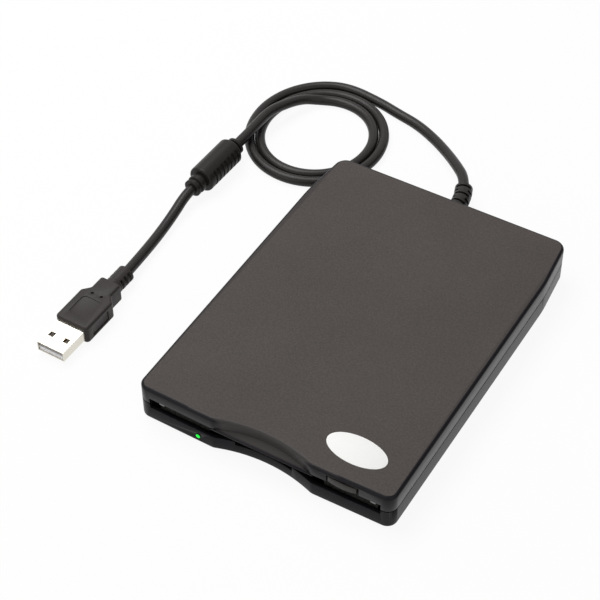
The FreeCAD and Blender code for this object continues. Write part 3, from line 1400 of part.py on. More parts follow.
def make_plug():
    """Overmoulded plug: shouldered grip with a recess, ribbed relief, steel shell, tongue, contacts."""
    body = doc.addObject("PartDesign::Body", "plug_grip")
    wide = size.plug_width / 2
    neck = size.plug_neck_width / 2
    one = size.plug_body_length
    two = one + size.plug_shoulder
    three = two + size.plug_neck_length
    plan = [(-wide, 0, 1.6), (wide, 0, 1.6), (wide, one, 1.5), (neck, two, 1.5), (neck, three, 1.2),
            (-neck, three, 1.2), (-neck, two, 1.5), (-wide, one, 1.5)]
    sketch = add_sketch(body, "plug_plan", "XY_Plane", rounded(plan), "-plug_thickness / 2")
    grip = pad(body, "plug_block", sketch, "plug_thickness")
    doc.recompute()
    soft = body.newObject("PartDesign::Fillet", "plug_soft")
    soft.Base = (grip, edges_at_height(grip.Shape, size.plug_thickness / 2)
                 + edges_at_height(grip.Shape, -size.plug_thickness / 2))
    bind(soft, Radius="plug_round")
    doc.recompute()
    half = size.plug_recess_width / 2
    middle = size.plug_body_length * 0.56
    long = size.plug_recess_length / 2
    recess = [(-half, middle - long, 1.6), (half, middle - long, 1.6), (half, middle + long, 1.6),
              (-half, middle + long, 1.6)]
    recess_plan = add_sketch(body, "plug_recess_plan", "XY_Plane", rounded(recess),
                             "plug_thickness / 2 - plug_recess_depth")
    pocket(body, "plug_recess", recess_plan, "plug_recess_depth + 1")
    doc.recompute()

    relief_start_at = three - 0.5
    ribs = []
    step = (size.plug_relief_length + 0.5) / size.plug_ribs
    for number in range(size.plug_ribs):
        low = relief_start_at + number * step
        width = size.plug_relief_width / 2 - size.plug_rib_trim * number
        thin = doc.addObject("Part::Feature", "plug_rib_%d" % number)
        inner = Part.makeCylinder(width - 0.9, step + 0.05, Vector(0, low - 0.05, 0), Vector(0, 1, 0))
        outer = Part.makeCylinder(width, step * 0.62, Vector(0, low + step * 0.38, 0), Vector(0, 1, 0))
        thin.Shape = inner.fuse(outer)
        ribs.append(thin)
    dimples = [rod("plug_dimple_%d" % number, "Z", (across, "plug_body_length + 0.3",
                                                    "plug_thickness / 2 - dimple_depth"),
                   "dimple_radius", "dimple_depth + 1")
               for number, across in enumerate(("-dimple_apart / 2", "dimple_apart / 2"))]
    channel = block("plug_channel", ("-shell_width / 2 - screw_fit", "shell_width / 2 + screw_fit"),
                    ("-1", "shell_hidden"),
                    ("-shell_height / 2 - screw_fit", "shell_height / 2 + screw_fit"))
    whole = carve("plug_carved", join("plug_joined", body, *ribs), channel, *dimples)
    whole.Placement = plug_place()
    done(whole, "plug_body")

    outer = block("shell_outer", ("-shell_width / 2", "shell_width / 2"),
                  ("-shell_exposed", "shell_hidden - 0.1"), ("-shell_height / 2", "shell_height / 2"))
    inner = block("shell_inner", ("-shell_width / 2 + shell_sheet", "shell_width / 2 - shell_sheet"),
                  ("-shell_exposed - 1", "shell_hidden + 1"),
                  ("-shell_height / 2 + shell_sheet", "shell_height / 2 - shell_sheet"))
    windows = [block("shell_window_%d" % number,
                     (across + " - shell_window / 2", across + " + shell_window / 2"),
                     ("-shell_exposed + shell_window_back - shell_window / 2",
                      "-shell_exposed + shell_window_back + shell_window / 2"),
                     ("-shell_height", "shell_height"))
               for number, across in enumerate(("-shell_window_apart / 2", "shell_window_apart / 2"))]
    shell = carve("shell_finished", outer, inner, *windows)
    shell.Placement = plug_place()
    done(shell, "plug_shell")

    # The tongue fills the shell's lower half and closes its back.
    tongue = join("tongue_joined",
                  block("tongue_blank", ("-shell_width / 2 + shell_sheet + tongue_gap",
                                         "shell_width / 2 - shell_sheet - tongue_gap"),
                        ("-shell_exposed + 0.4", "shell_hidden - 0.5"),
                        ("-shell_height / 2 + shell_sheet",
                         "-shell_height / 2 + shell_sheet + tongue_plate")),
                  block("tongue_back", ("-shell_width / 2 + shell_sheet + tongue_gap",
                                        "shell_width / 2 - shell_sheet - tongue_gap"),
                        ("0", "shell_hidden - 0.5"),
                        ("-shell_height / 2 + shell_sheet", "shell_height / 2 - shell_sheet")))
    tongue.Placement = plug_place()
    done(tongue, "plug_tongue")

    strips = []
    for number in range(size.contact_count):
        offset = "(%.1f) * contact_pitch" % (number - (size.contact_count - 1) / 2)
        strips.append(block("contact_%d" % number,
                            (offset + " - contact_width / 2", offset + " + contact_width / 2"),
                            ("-shell_exposed + 1.4", "0"),
                            ("-shell_height / 2 + shell_sheet + tongue_plate",
                             "-shell_height / 2 + shell_sheet + tongue_plate + contact_sheet")))
    group = doc.addObject("Part::Compound", "contact_group")
    group.Links = strips
    group.Placement = plug_place()
    done(group, "plug_contacts")


def spot(vector):
    return (vector.x, vector.y, vector.z)


def make_cord():
    """Lead from the relief, the coil on the table, the bridge over it and the tail to the plug."""
    leaving, relief_way = make_relief()
    coil_in, coil_out, coil_length, in_way, out_way = make_coil()
    choke_low, choke_way = along_choke(0)
    choke_top, _ = along_choke(size.choke_length)
    plug_in, plug_way = plug_end()
    lead = [spot(leaving), spot(leaving + relief_way * 7.0), (-11.2, 101.2, 6.8), (-18.8, 107.9, 4.6),
            (-28.2, 114.0, 2.7), (-39.4, 119.2, 2.15), spot(coil_in - in_way * 9.5), spot(coil_in)]
    bridge = [spot(coil_out), spot(coil_out + out_way * 6.5), spot(choke_top + choke_way * 7.0),
              spot(choke_top)]
    tail = [spot(choke_low), spot(choke_low - choke_way * 7.5), (-99.6, 18.6, 3.6),
            (-98.9, 10.2, 2.6), (-96.8, 0.9, 2.8), spot(plug_in + plug_way * 8.0), spot(plug_in)]
    lengths = [cord_stretch("cord_lead", lead), coil_length, cord_stretch("cord_bridge", bridge),
               size.choke_length, cord_stretch("cord_tail", tail)]
    print("cord length in all %.1f" % sum(lengths))


make_upper_case()
make_lower_case()
make_case_fittings()
make_flaps()
make_frame()
make_holder()
make_slider()
make_button()
make_spindle()
make_heads()
make_lever()
make_boards()
make_choke()
make_plug()
make_cord()
doc.recompute()

for item in doc.Objects:
    if "Invalid" in item.State or "Error" in item.State:
        raise RuntimeError("failed object: " + item.Name)
os.makedirs("parts", exist_ok=True)
for item in finished:
    shape = item.Shape
    if shape.isNull() or not shape.isValid() or not shape.Solids:
        raise RuntimeError("bad shape: " + item.Label)
    shape.exportStep("parts/%s.step" % item.Label)
print(len(finished), "nodes")
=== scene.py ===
import functools
import json
import math

import bmesh
import bpy
from mathutils import Matrix, Vector


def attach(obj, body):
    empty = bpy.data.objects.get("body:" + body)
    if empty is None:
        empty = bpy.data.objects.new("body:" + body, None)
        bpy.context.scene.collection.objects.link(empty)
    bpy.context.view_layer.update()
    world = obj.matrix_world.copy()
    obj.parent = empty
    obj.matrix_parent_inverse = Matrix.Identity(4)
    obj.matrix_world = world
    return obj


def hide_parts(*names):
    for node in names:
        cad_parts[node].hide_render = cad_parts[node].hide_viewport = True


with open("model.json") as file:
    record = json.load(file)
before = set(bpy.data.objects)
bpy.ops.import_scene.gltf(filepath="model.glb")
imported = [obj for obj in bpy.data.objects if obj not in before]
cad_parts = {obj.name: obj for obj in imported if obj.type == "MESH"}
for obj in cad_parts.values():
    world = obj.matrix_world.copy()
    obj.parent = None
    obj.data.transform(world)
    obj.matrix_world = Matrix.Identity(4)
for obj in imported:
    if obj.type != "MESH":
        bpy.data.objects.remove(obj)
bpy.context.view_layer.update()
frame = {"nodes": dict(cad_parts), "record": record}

mm = 0.001

# the dictionaries hold what a user would change, beside the code that reads them: turns are in degrees,
# and lengths in millimetres, or in metres for the camera, for the stage and where they carry "* mm"


def nodeTree(name):
    material = bpy.data.materials.new(name)
    material.use_nodes = True
    tree = material.node_tree
    return material, tree, tree.nodes["Principled BSDF"]


def addNode(tree, kind, **values):
    node = tree.nodes.new(kind)
    for key, value in values.items():
        if hasattr(node, key):
            setattr(node, key, value)
        else:
            node.inputs[key].default_value = value
    return node


# gives a socket its value, from another socket or as a number or a colour
def feed(tree, target, source):
    if isinstance(source, bpy.types.NodeSocket):
        tree.links.new(source, target)
    elif isinstance(source, tuple):
        target.default_value = (*source, 1.0)
    else:
        target.default_value = source


def maths(tree, operation, *values):
    node = addNode(tree, "ShaderNodeMath", operation=operation)
    for target, value in zip(node.inputs, values):
        feed(tree, target, value)
    return node.outputs[0]


# a value carried from the span start..end to low..high, and held at its ends
def mapped(tree, source, start, end, low=0.0, high=1.0):
    node = addNode(tree, "ShaderNodeMapRange")
    for key, value in (("Value", source), ("From Min", start), ("From Max", end), ("To Min", low),
                       ("To Max", high)):
        feed(tree, node.inputs[key], value)
    return node.outputs["Result"]


def mixed(tree, factor, first, second, blend="MIX"):
    node = addNode(tree, "ShaderNodeMix", data_type="RGBA", blend_type=blend)
    for key, value in (("Factor", factor), ("A", first), ("B", second)):
        feed(tree, node.inputs[key], value)
    return node.outputs["Result"]


# a colour or a grey between two, driven by a factor that runs from start to end
def rampBetween(tree, source, low, high, start, end):
    ramp = addNode(tree, "ShaderNodeValToRGB")
    first, last = ramp.color_ramp.elements
    first.position, last.position = start, end
    first.color, last.color = (*low, 1.0), (*high, 1.0)
    tree.links.new(source, ramp.inputs["Fac"])
    return ramp.outputs["Color"]


# a roughness that strays from its middle with a noise
def roughBetween(tree, source, rough, less, more, start, end):
    return rampBetween(tree, source, (rough - less,) * 3, (rough + more,) * 3, start, end)


def objectPoint(tree, scale=(1, 1, 1)):
    coordinates = addNode(tree, "ShaderNodeTexCoord")
    mapping = addNode(tree, "ShaderNodeMapping", Scale=scale)
    tree.links.new(coordinates.outputs["Object"], mapping.inputs["Vector"])
    return mapping.outputs["Vector"]


def noiseAt(tree, vector, scale, detail=2.0, rough=0.5):
    noise = addNode(tree, "ShaderNodeTexNoise", Scale=scale, Detail=detail, Roughness=rough)
    tree.links.new(vector, noise.inputs["Vector"])
    return noise.outputs["Fac"]


def splitPoint(tree, point):
    split = addNode(tree, "ShaderNodeSeparateXYZ")
    tree.links.new(point, split.inputs["Vector"])
    return split.outputs


def addBump(tree, shader, height, strength, depth):
    bump = addNode(tree, "ShaderNodeBump", Distance=depth)
    feed(tree, bump.inputs["Strength"], strength)
    feed(tree, bump.inputs["Height"], height)
    feed(tree, shader.inputs["Normal"], bump.outputs["Normal"])


def shade(colour, share):
    return tuple(min(1.0, channel * share) for channel in colour)


# what a plastic has unless its own row says otherwise
plasticUsual = {"cloud": 0.06, "cloudScale": 60.0, "speck": 1.12, "bump": 0.4, "specular": 0.4,
                "roughSpread": 0.05}


# moulded plastic: grain in the bump, faint cloudiness in the colour, worn sheen in the roughness
def mouldedPlastic(name, row):
    look = {**plasticUsual, **row}
    material, tree, shader = nodeTree(name)
    point = objectPoint(tree)
    cloud = noiseAt(tree, point, look["cloudScale"], detail=3.0)
    grain = noiseAt(tree, point, look["grainScale"], detail=2.5, rough=0.6)
    dark = shade(look["colour"], 1 - look["cloud"])
    pale = shade(look["colour"], 1 + look["cloud"])
    base = rampBetween(tree, cloud, dark, pale, 0.3, 0.7)
    specks = rampBetween(tree, grain, (0, 0, 0), (1, 1, 1), 0.42, 0.62)
    feed(tree, shader.inputs["Base Color"], mixed(tree, specks, base, shade(look["colour"], look["speck"])))
    feed(tree, shader.inputs["Roughness"],
         roughBetween(tree, grain, look["rough"], look["roughSpread"], look["roughSpread"], 0.35, 0.65))
    addBump(tree, shader, grain, look["bump"], look["depth"])
    shader.inputs["Specular IOR Level"].default_value = look["specular"]
    return material


panelLook = {
    "edgeColour": (0.009, 0.008, 0.010), "panelGreyAndPaintedSheen": (0.078, 0.068, 0.063), "level": 16.8 * mm,
    "scoopPaintedFloorReflection": (0.050, 0.045, 0.044), "scoopStart": -70.6 * mm, "scoopDepth": 20 * mm,
    "scoopHalf": 31 * mm, "scoopFade": 2 * mm, "scoopEdge": 0.8 * mm, "levelStart": 0.03 * mm,
    "levelEnd": 0.003 * mm, "edgeRough": 0.28, "panelRough": 0.62,
    "edgeBump": 0.12, "panelBump": 0.6, "grainScale": 1500.0, "cloudScale": 35.0, "grainSpread": 0.14,
    "depth": 0.07 * mm, "specular": 0.10}


# glossy moulded plastic whose highest face carries a matt spark-eroded texture, and whose scoop at the
# front is painted lighter, as a painted reflection of the pale floor
def texturedPanel(name, look):
    material, tree, shader = nodeTree(name)
    point = objectPoint(tree)
    across, along, height = splitPoint(tree, point)
    grain = noiseAt(tree, point, look["grainScale"], detail=3.0, rough=0.65)
    cloud = noiseAt(tree, point, look["cloudScale"])
    # partly painted light: the top face's grey is partly the matt texture's own colour, and partly painted
    # sheen of the overhead light
    low = shade(look["panelGreyAndPaintedSheen"], 1 - look["grainSpread"])
    high = shade(look["panelGreyAndPaintedSheen"], 1 + look["grainSpread"])
    specks = rampBetween(tree, grain, low, high, 0.38, 0.66)
    tint = rampBetween(tree, cloud, (0.95,) * 3, (1.05,) * 3, 0.3, 0.7)
    panel = mixed(tree, 1.0, specks, tint, "MULTIPLY")
    # the scoop, which carries the painted reflection, lies behind the front's plane, and well ahead of the
    # back wall
    start, end, half = look["scoopStart"], look["scoopStart"] + look["scoopDepth"], look["scoopHalf"]
    behind = mapped(tree, along, start, start + look["scoopEdge"])
    ahead = mapped(tree, along, end, end - look["scoopFade"])
    within = mapped(tree, maths(tree, "ABSOLUTE", across), half, half - look["scoopFade"])
    paintedReflectionArea = maths(tree, "MULTIPLY", maths(tree, "MULTIPLY", behind, ahead), within)
    # painted reflection: the scoop gets a lighter colour than the rest of the glossy edge, standing in for
    # the pale floor that it mirrors
    wall = mixed(tree, paintedReflectionArea, look["edgeColour"], look["scoopPaintedFloorReflection"])
    level = look["level"]
    onPanel = mapped(tree, height, level - look["levelStart"], level - look["levelEnd"])
    feed(tree, shader.inputs["Base Color"], mixed(tree, onPanel, wall, panel))
    rough = mapped(tree, onPanel, 0.0, 1.0, look["edgeRough"], look["panelRough"])
    feed(tree, shader.inputs["Roughness"], rough)
    strength = mapped(tree, onPanel, 0.0, 1.0, look["edgeBump"], look["panelBump"])
    addBump(tree, shader, grain, strength, look["depth"])
    shader.inputs["Specular IOR Level"].default_value = look["specular"]
    return material


metalUsual = {"stretch": (40.0, 1.0, 40.0), "lineScale": 60.0, "lineShade": 0.88, "bump": 0.15,
              "depth": 0.01 * mm}


# sheet or turned metal with fine drawn lines
def brushedMetal(name, row):
    look = {**metalUsual, **row}
    material, tree, shader = nodeTree(name)
    point = objectPoint(tree, look["stretch"])
    lines = noiseAt(tree, point, look["lineScale"], detail=3.0, rough=0.6)
    low = shade(look["colour"], look["lineShade"])
    feed(tree, shader.inputs["Base Color"], rampBetween(tree, lines, low, look["colour"], 0.3, 0.7))
    feed(tree, shader.inputs["Roughness"], roughBetween(tree, lines, look["rough"], 0.06, 0.08, 0.3, 0.7))
    addBump(tree, shader, lines, look["bump"], look["depth"])
    shader.inputs["Metallic"].default_value = 1.0
    return material


lensLook = {"core": (0.0, 0.95, 0.05), "body": (0.004, 0.03, 0.008), "bodyPale": (0.006, 0.045, 0.012),
            "across": -26.0 * mm, "height": 4.3 * mm, "radius": 0.98 * mm, "front": -71.15 * mm,
            "rim": 0.85, "glowDepth": 0.5 * mm, "strength": 1.1, "hazeScale": 1500.0, "wobble": 0.1 * mm,
            "rough": 0.25, "specular": 0.1}


# clear lens that glows only at its front face, inside a rim
def glowingLens(name, look):
    material, tree, shader = nodeTree(name)
    point = objectPoint(tree)
    across, along, height = splitPoint(tree, point)
    squares = []
    for value, centre in ((across, look["across"]), (height, look["height"])):
        away = maths(tree, "SUBTRACT", value, centre)
        squares.append(maths(tree, "MULTIPLY", away, away))
    reach = maths(tree, "SQRT", maths(tree, "ADD", *squares))
    haze = noiseAt(tree, point, look["hazeScale"])
    wobble = maths(tree, "MULTIPLY_ADD", haze, look["wobble"], reach)
    core = mapped(tree, wobble, look["radius"], look["radius"] * look["rim"])
    face = mapped(tree, along, look["front"] + look["glowDepth"], look["front"])
    glow = maths(tree, "MULTIPLY", core, face)
    feed(tree, shader.inputs["Emission Strength"], maths(tree, "MULTIPLY", glow, look["strength"]))
    feed(tree, shader.inputs["Emission Color"], look["core"])
    body = rampBetween(tree, haze, look["body"], look["bodyPale"], 0.35, 0.75)
    feed(tree, shader.inputs["Base Color"], body)
    shader.inputs["Roughness"].default_value = look["rough"]
    shader.inputs["Specular IOR Level"].default_value = look["specular"]
    return material


boardLook = {"mask": (0.012, 0.085, 0.035), "trace": (0.020, 0.13, 0.055), "traceScale": 260.0,
             "bump": 0.3, "depth": 0.03 * mm, "rough": 0.35}


# solder mask over copper: faint traces as raised lines
def boardFinish(name, look):
    material, tree, shader = nodeTree(name)
    wave = addNode(tree, "ShaderNodeTexWave", Scale=look["traceScale"], Distortion=6.0, Detail=1.0)
    tree.links.new(objectPoint(tree), wave.inputs["Vector"])
    lines = wave.outputs["Fac"]
    colour = rampBetween(tree, lines, look["mask"], look["trace"], 0.45, 0.55)
    feed(tree, shader.inputs["Base Color"], colour)
    addBump(tree, shader, lines, look["bump"], look["depth"])
    shader.inputs["Roughness"].default_value = look["rough"]
    return material


plastics = {
    "basePlastic": {"colour": (0.010, 0.009, 0.011), "rough": 0.30, "grainScale": 3600.0,
                    "depth": 0.01 * mm, "bump": 0.2, "speck": 1.08, "specular": 0.10},
    "buttonPlastic": {"colour": (0.030, 0.027, 0.025), "rough": 0.36, "grainScale": 3200.0,
                      "depth": 0.02 * mm, "bump": 0.3, "specular": 0.22},
    "flapPlastic": {"colour": (0.013, 0.013, 0.012), "rough": 0.7, "grainScale": 1300.0,
                    "depth": 0.10 * mm, "bump": 0.8, "speck": 2.6, "specular": 0.06},
    "footRubber": {"colour": (0.020, 0.020, 0.021), "rough": 0.8, "grainScale": 1500.0,
                   "depth": 0.08 * mm},
    "cordJacket": {"colour": (0.013, 0.011, 0.010), "rough": 0.34, "grainScale": 1400.0,
                   "depth": 0.03 * mm, "bump": 0.3, "cloud": 0.10, "specular": 0.24},
    "plugMoulding": {"colour": (0.031, 0.027, 0.025), "rough": 0.42, "grainScale": 2800.0,
                     "depth": 0.03 * mm, "specular": 0.16},
    "chokeMoulding": {"colour": (0.016, 0.014, 0.013), "rough": 0.36, "grainScale": 2200.0,
                      "depth": 0.02 * mm, "bump": 0.3, "specular": 0.15},
    "labelFilm": {"colour": (0.95, 0.95, 0.93), "rough": 0.62, "grainScale": 1200.0,
                  "depth": 0.01 * mm, "bump": 0.15, "cloud": 0.01, "speck": 1.01, "specular": 0.15},
    "chipEpoxy": {"colour": (0.018, 0.018, 0.018), "rough": 0.6, "grainScale": 3000.0,
                  "depth": 0.04 * mm},
    "carriagePlastic": {"colour": (0.055, 0.052, 0.050), "rough": 0.5, "grainScale": 2500.0,
                        "depth": 0.04 * mm},
    "headCeramic": {"colour": (0.30, 0.25, 0.20), "rough": 0.25, "grainScale": 3000.0,
                    "depth": 0.01 * mm},
    "socketNylon": {"colour": (0.72, 0.70, 0.64), "rough": 0.45, "grainScale": 2200.0,
                    "depth": 0.02 * mm, "cloud": 0.03},
    "ribbonFilm": {"colour": (0.70, 0.70, 0.66), "rough": 0.38, "grainScale": 900.0,
                   "depth": 0.01 * mm, "cloud": 0.03},
    "tongueNylon": {"colour": (0.80, 0.79, 0.80), "rough": 0.40, "grainScale": 2600.0,
                    "depth": 0.01 * mm, "cloud": 0.02, "speck": 1.02},
    "ferriteBlock": {"colour": (0.06, 0.06, 0.06), "rough": 0.7, "grainScale": 2600.0,
                     "depth": 0.06 * mm},
}

metals = {
    "zincSheet": {"colour": (0.56, 0.56, 0.55), "rough": 0.38},
    "lugMetal": {"colour": (0.24, 0.24, 0.235), "rough": 0.55},
    "screwSteel": {"colour": (0.20, 0.20, 0.21), "rough": 0.4, "stretch": (8.0, 8.0, 8.0)},
    "motorSteel": {"colour": (0.50, 0.50, 0.50), "rough": 0.35},
    "rotorSteel": {"colour": (0.60, 0.60, 0.59), "rough": 0.32, "stretch": (1.0, 1.0, 30.0)},
    "hubMetal": {"colour": (0.72, 0.72, 0.72), "rough": 0.30, "stretch": (1.0, 1.0, 30.0)},
    "polishedSteel": {"colour": (0.70, 0.70, 0.69), "rough": 0.22},
    "plugNickel": {"colour": (0.76, 0.73, 0.65), "rough": 0.22, "stretch": (30.0, 1.0, 30.0)},
    "contactGold": {"colour": (0.85, 0.62, 0.26), "rough": 0.25},
}


def makeFinishes():
    finishes = {name: mouldedPlastic(name, row) for name, row in plastics.items()}
    finishes["topPlastic"] = texturedPanel("topPlastic", panelLook)
    finishes.update({name: brushedMetal(name, row) for name, row in metals.items()})
    finishes["greenLens"] = glowingLens("greenLens", lensLook)
    finishes["solderMask"] = boardFinish("solderMask", boardLook)
    print("finishes made:", len(finishes))
    return finishes


def dress(obj, material):
    obj.data.materials.clear()
    obj.data.materials.append(material)
    return obj


# turns an object with live modifiers into a plain mesh at the origin
def toPlainMesh(obj):
    depsgraph = bpy.context.evaluated_depsgraph_get()
    mesh = bpy.data.meshes.new_from_object(obj.evaluated_get(depsgraph), depsgraph=depsgraph)
    mesh.transform(obj.matrix_world)
    plain = bpy.data.objects.new(obj.name, mesh)
    name = obj.name
    bpy.data.objects.remove(obj)
    bpy.context.scene.collection.objects.link(plain)
    plain.name = name
    return plain


def smoothUnder(mesh, degrees):
    mesh.polygons.foreach_set("use_smooth", [True] * len(mesh.polygons))
    mesh.set_sharp_from_angle(angle=math.radians(degrees))


refineLook = {"merge": 0.002 * mm, "flat": 0.4, "sharp": 32.0, "bevelSteps": 2}


# a merged copy of a CAD node, its sharp edges softened and its curves smooth-shaded
def refined(node, name, edge=0.0, shape=None, cutters=()):
    mesh = frame["nodes"][node].data.copy()
    work = bmesh.new()
    work.from_mesh(mesh)
    bmesh.ops.remove_doubles(work, verts=work.verts, dist=refineLook["merge"])
    bmesh.ops.dissolve_limit(work, angle_limit=math.radians(refineLook["flat"]), verts=work.verts,
                             edges=work.edges)
    if shape:
        shape(work)
    work.to_mesh(mesh)
    work.free()
    mesh.materials.clear()
    obj = bpy.data.objects.new(name, mesh)
    bpy.context.scene.collection.objects.link(obj)
    for number, cutter in enumerate(cutters):
        cut = obj.modifiers.new("cut%d" % number, "BOOLEAN")
        cut.operation = "DIFFERENCE"
        cut.solver = "EXACT"
        cut.object = cutter
    if cutters:
        obj = toPlainMesh(obj)
        for cutter in cutters:
            bpy.data.objects.remove(cutter)
    if edge:
        bevel = obj.modifiers.new("softEdge", "BEVEL")
        bevel.width = edge
        bevel.segments = refineLook["bevelSteps"]
        bevel.limit_method = "ANGLE"
        bevel.angle_limit = math.radians(refineLook["sharp"])
        bevel.miter_outer = "MITER_ARC"
        obj = toPlainMesh(obj)
    smoothUnder(obj.data, refineLook["sharp"])
    return obj


def plainObject(name, verts, faces):
    mesh = bpy.data.meshes.new(name)
    mesh.from_pydata([tuple(vert) for vert in verts], [], faces)
    work = bmesh.new()
    work.from_mesh(mesh)
    bmesh.ops.recalc_face_normals(work, faces=work.faces)
    work.to_mesh(mesh)
    work.free()
    obj = bpy.data.objects.new(name, mesh)
    bpy.context.scene.collection.objects.link(obj)
    return obj


def straightFrame(distance):
    return Vector((0, distance, 0)), Vector((1, 0, 0)), Vector((0, 0, 1))


tubeLook = {"sides": 96, "sharp": 40.0, "nearest": 0.008}


# a tube or ring whose radius depends on the distance along it and the angle round it, in millimetres
def sculptedTube(name, stations, radiusAt, frameAt=straightFrame, inner=None, arc=None):
    begin, end = arc or (0.0, 360.0)
    turns = int(tubeLook["sides"] * (end - begin) / 360)
    angles = [begin + (end - begin) * number / turns for number in range(turns + (1 if arc else 0))]
    rings = [(distance, None) for distance in stations]
    if inner:
        rings += [(distance, inner) for distance in reversed(stations)]
    verts = []
    for distance, held in rings:
        centre, across, up = frameAt(distance)
        for angle in angles:
            turn = math.radians(angle)
            radius = held or radiusAt(distance, angle)
            verts.append((centre + (across * math.cos(turn) + up * math.sin(turn)) * radius) * mm)
    wide, tall = len(angles), len(rings)
    faces = [(row * wide + side, row * wide + (side + 1) % wide,
              (row + 1) % tall * wide + (side + 1) % wide, (row + 1) % tall * wide + side)
             for row in range(tall if inner else tall - 1) for side in range(turns)]
    if arc:
        faces += [tuple(row * wide + side for row in range(tall)) for side in (0, wide - 1)]
    elif not inner:
        faces += [tuple(range(wide)), tuple((tall - 1) * wide + side for side in range(wide))]
    tube = plainObject(name, verts, faces)
    smoothUnder(tube.data, tubeLook["sharp"])
    return tube


# radius at a distance, read from straight runs between (distance, radius) corners
def steps(profile):
    def radius(distance):
        for (start, first), (end, second) in zip(profile, profile[1:]):
            if start <= distance <= end and end > start:
                return first + (second - first) * (distance - start) / (end - start)
        return profile[-1][1] if distance > profile[-1][0] else profile[0][1]
    return radius


def gapBetween(angle, middle, span):
    return abs((angle - middle + 180) % 360 - 180) < span / 2


# a tree that sets copies of one link along a path, every second one turned about it
@functools.cache
def linkTree():
    tree = bpy.data.node_groups.new("linksAlongPath", "GeometryNodeTree")
    kinds = {"path": "Geometry", "link": "Object", "count": "Int", "start": "Float", "pitch": "Float",
             "turn": "Float", "finish": "Material"}
    sockets = {name: tree.interface.new_socket(name=name, in_out="INPUT", socket_type="NodeSocket" + kind)
               for name, kind in kinds.items()}
    tree.interface.new_socket(name="links", in_out="OUTPUT", socket_type="NodeSocketGeometry")
    given = addNode(tree, "NodeGroupInput").outputs
    result = addNode(tree, "NodeGroupOutput")
    path = addNode(tree, "GeometryNodeMeshToCurve")
    points = addNode(tree, "GeometryNodePoints")
    index = addNode(tree, "GeometryNodeInputIndex").outputs["Index"]
    place = addNode(tree, "ShaderNodeMath", operation="MULTIPLY_ADD")
    sample = addNode(tree, "GeometryNodeSampleCurve", mode="LENGTH")
    second = addNode(tree, "ShaderNodeMath", operation="MODULO")
    second.inputs[1].default_value = 2.0
    swing = addNode(tree, "ShaderNodeMath", operation="MULTIPLY")
    about = addNode(tree, "ShaderNodeCombineXYZ")
    spin = addNode(tree, "FunctionNodeEulerToRotation")
    heading = addNode(tree, "FunctionNodeAlignRotationToVector", axis="Y")
    facing = addNode(tree, "FunctionNodeRotateRotation", rotation_space="LOCAL")
    moved = addNode(tree, "GeometryNodeSetPosition")
    link = addNode(tree, "GeometryNodeObjectInfo")
    copies = addNode(tree, "GeometryNodeInstanceOnPoints")
    real = addNode(tree, "GeometryNodeRealizeInstances")
    coat = addNode(tree, "GeometryNodeSetMaterial")
    for source, target in (
            (given["path"], path.inputs["Mesh"]), (given["count"], points.inputs["Count"]),
            (index, place.inputs[0]), (given["pitch"], place.inputs[1]), (given["start"], place.inputs[2]),
            (path.outputs["Curve"], sample.inputs["Curves"]), (place.outputs[0], sample.inputs["Length"]),
            (points.outputs[0], moved.inputs["Geometry"]),
            (sample.outputs["Position"], moved.inputs["Position"]), (index, second.inputs[0]),
            (second.outputs[0], swing.inputs[0]), (given["turn"], swing.inputs[1]),
            (swing.outputs[0], about.inputs["Y"]), (about.outputs[0], spin.inputs["Euler"]),
            (sample.outputs["Tangent"], heading.inputs["Vector"]),
            (heading.outputs[0], facing.inputs["Rotation"]), (spin.outputs[0], facing.inputs["Rotate By"]),
            (given["link"], link.inputs["Object"]), (moved.outputs[0], copies.inputs["Points"]),
            (link.outputs["Geometry"], copies.inputs["Instance"]),
            (facing.outputs[0], copies.inputs["Rotation"]), (copies.outputs[0], real.inputs[0]),
            (real.outputs[0], coat.inputs["Geometry"]), (given["finish"], coat.inputs["Material"]),
            (coat.outputs[0], result.inputs["links"])):
        tree.links.new(source, target)
    return tree, {name: socket.identifier for name, socket in sockets.items()}


def linksAlong(name, spots, link, count, start, pitch, turn, finish):
    tree, sockets = linkTree()
    mesh = bpy.data.meshes.new(name)
    edges = [(number, number + 1) for number in range(len(spots) - 1)]
    mesh.from_pydata([tuple(spot * mm) for spot in spots], edges, [])
    path = bpy.data.objects.new(name, mesh)
    bpy.context.scene.collection.objects.link(path)
    grow = path.modifiers.new("links", "NODES")
    grow.node_group = tree
    values = {"link": link, "count": count, "start": start * mm, "pitch": pitch * mm,
              "turn": math.radians(turn), "finish": finish}
    for key, value in values.items():
        grow[sockets[key]] = value
    links = toPlainMesh(path)
    bpy.data.objects.remove(link)
    smoothUnder(links.data, tubeLook["sharp"])
    print(name, "links:", count)
    return links


rungLook = {"slotEdge": 0.02, "sunk": 0.2, "step": 0.01, "tipRun": 0.3, "tipGrow": 0.45}


# one rung of a strain relief: a full ring, and a short stretch with a slot on either side
def reliefRung(look):
    outer, slot = look["radius"], look["slotLength"]

    def radiusAt(distance, angle):
        slotted = any(gapBetween(angle, side, look["slotSpan"]) for side in (0.0, 180.0))
        return outer - look["depth"] if slotted and distance < slot else outer

    stations = [0.0, slot - rungLook["slotEdge"], slot + rungLook["slotEdge"], look["rowPitch"]]
    return sculptedTube("reliefRung", stations, radiusAt, inner=outer - look["depth"] - rungLook["sunk"])


def reliefRungs(name, look, frameAt, finish, spacing=0.5):
    spots = [frameAt(look["rowStart"] + spacing * number)[0]
             for number in range(int(look["rowPitch"] * look["rows"] / spacing) + 2)]
    return linksAlong(name, spots, reliefRung(look), look["rows"], 0.0, look["rowPitch"], look["rowTurn"],
                      finish)


# corners of a relief's outline: its core under the rungs, and full size before and after them
def reliefProfile(look, first):
    core = look["radius"] - look["depth"]
    start, end = look["rowStart"], look["rowStart"] + look["rowPitch"] * look["rows"]
    step = rungLook["step"]
    return first + [(start - step, look["radius"]), (start, core), (end, core),
                    (end + step, look["radius"]),
                    (look["end"] - rungLook["tipRun"], look["tip"] + rungLook["tipGrow"]),
                    (look["end"], look["tip"])]


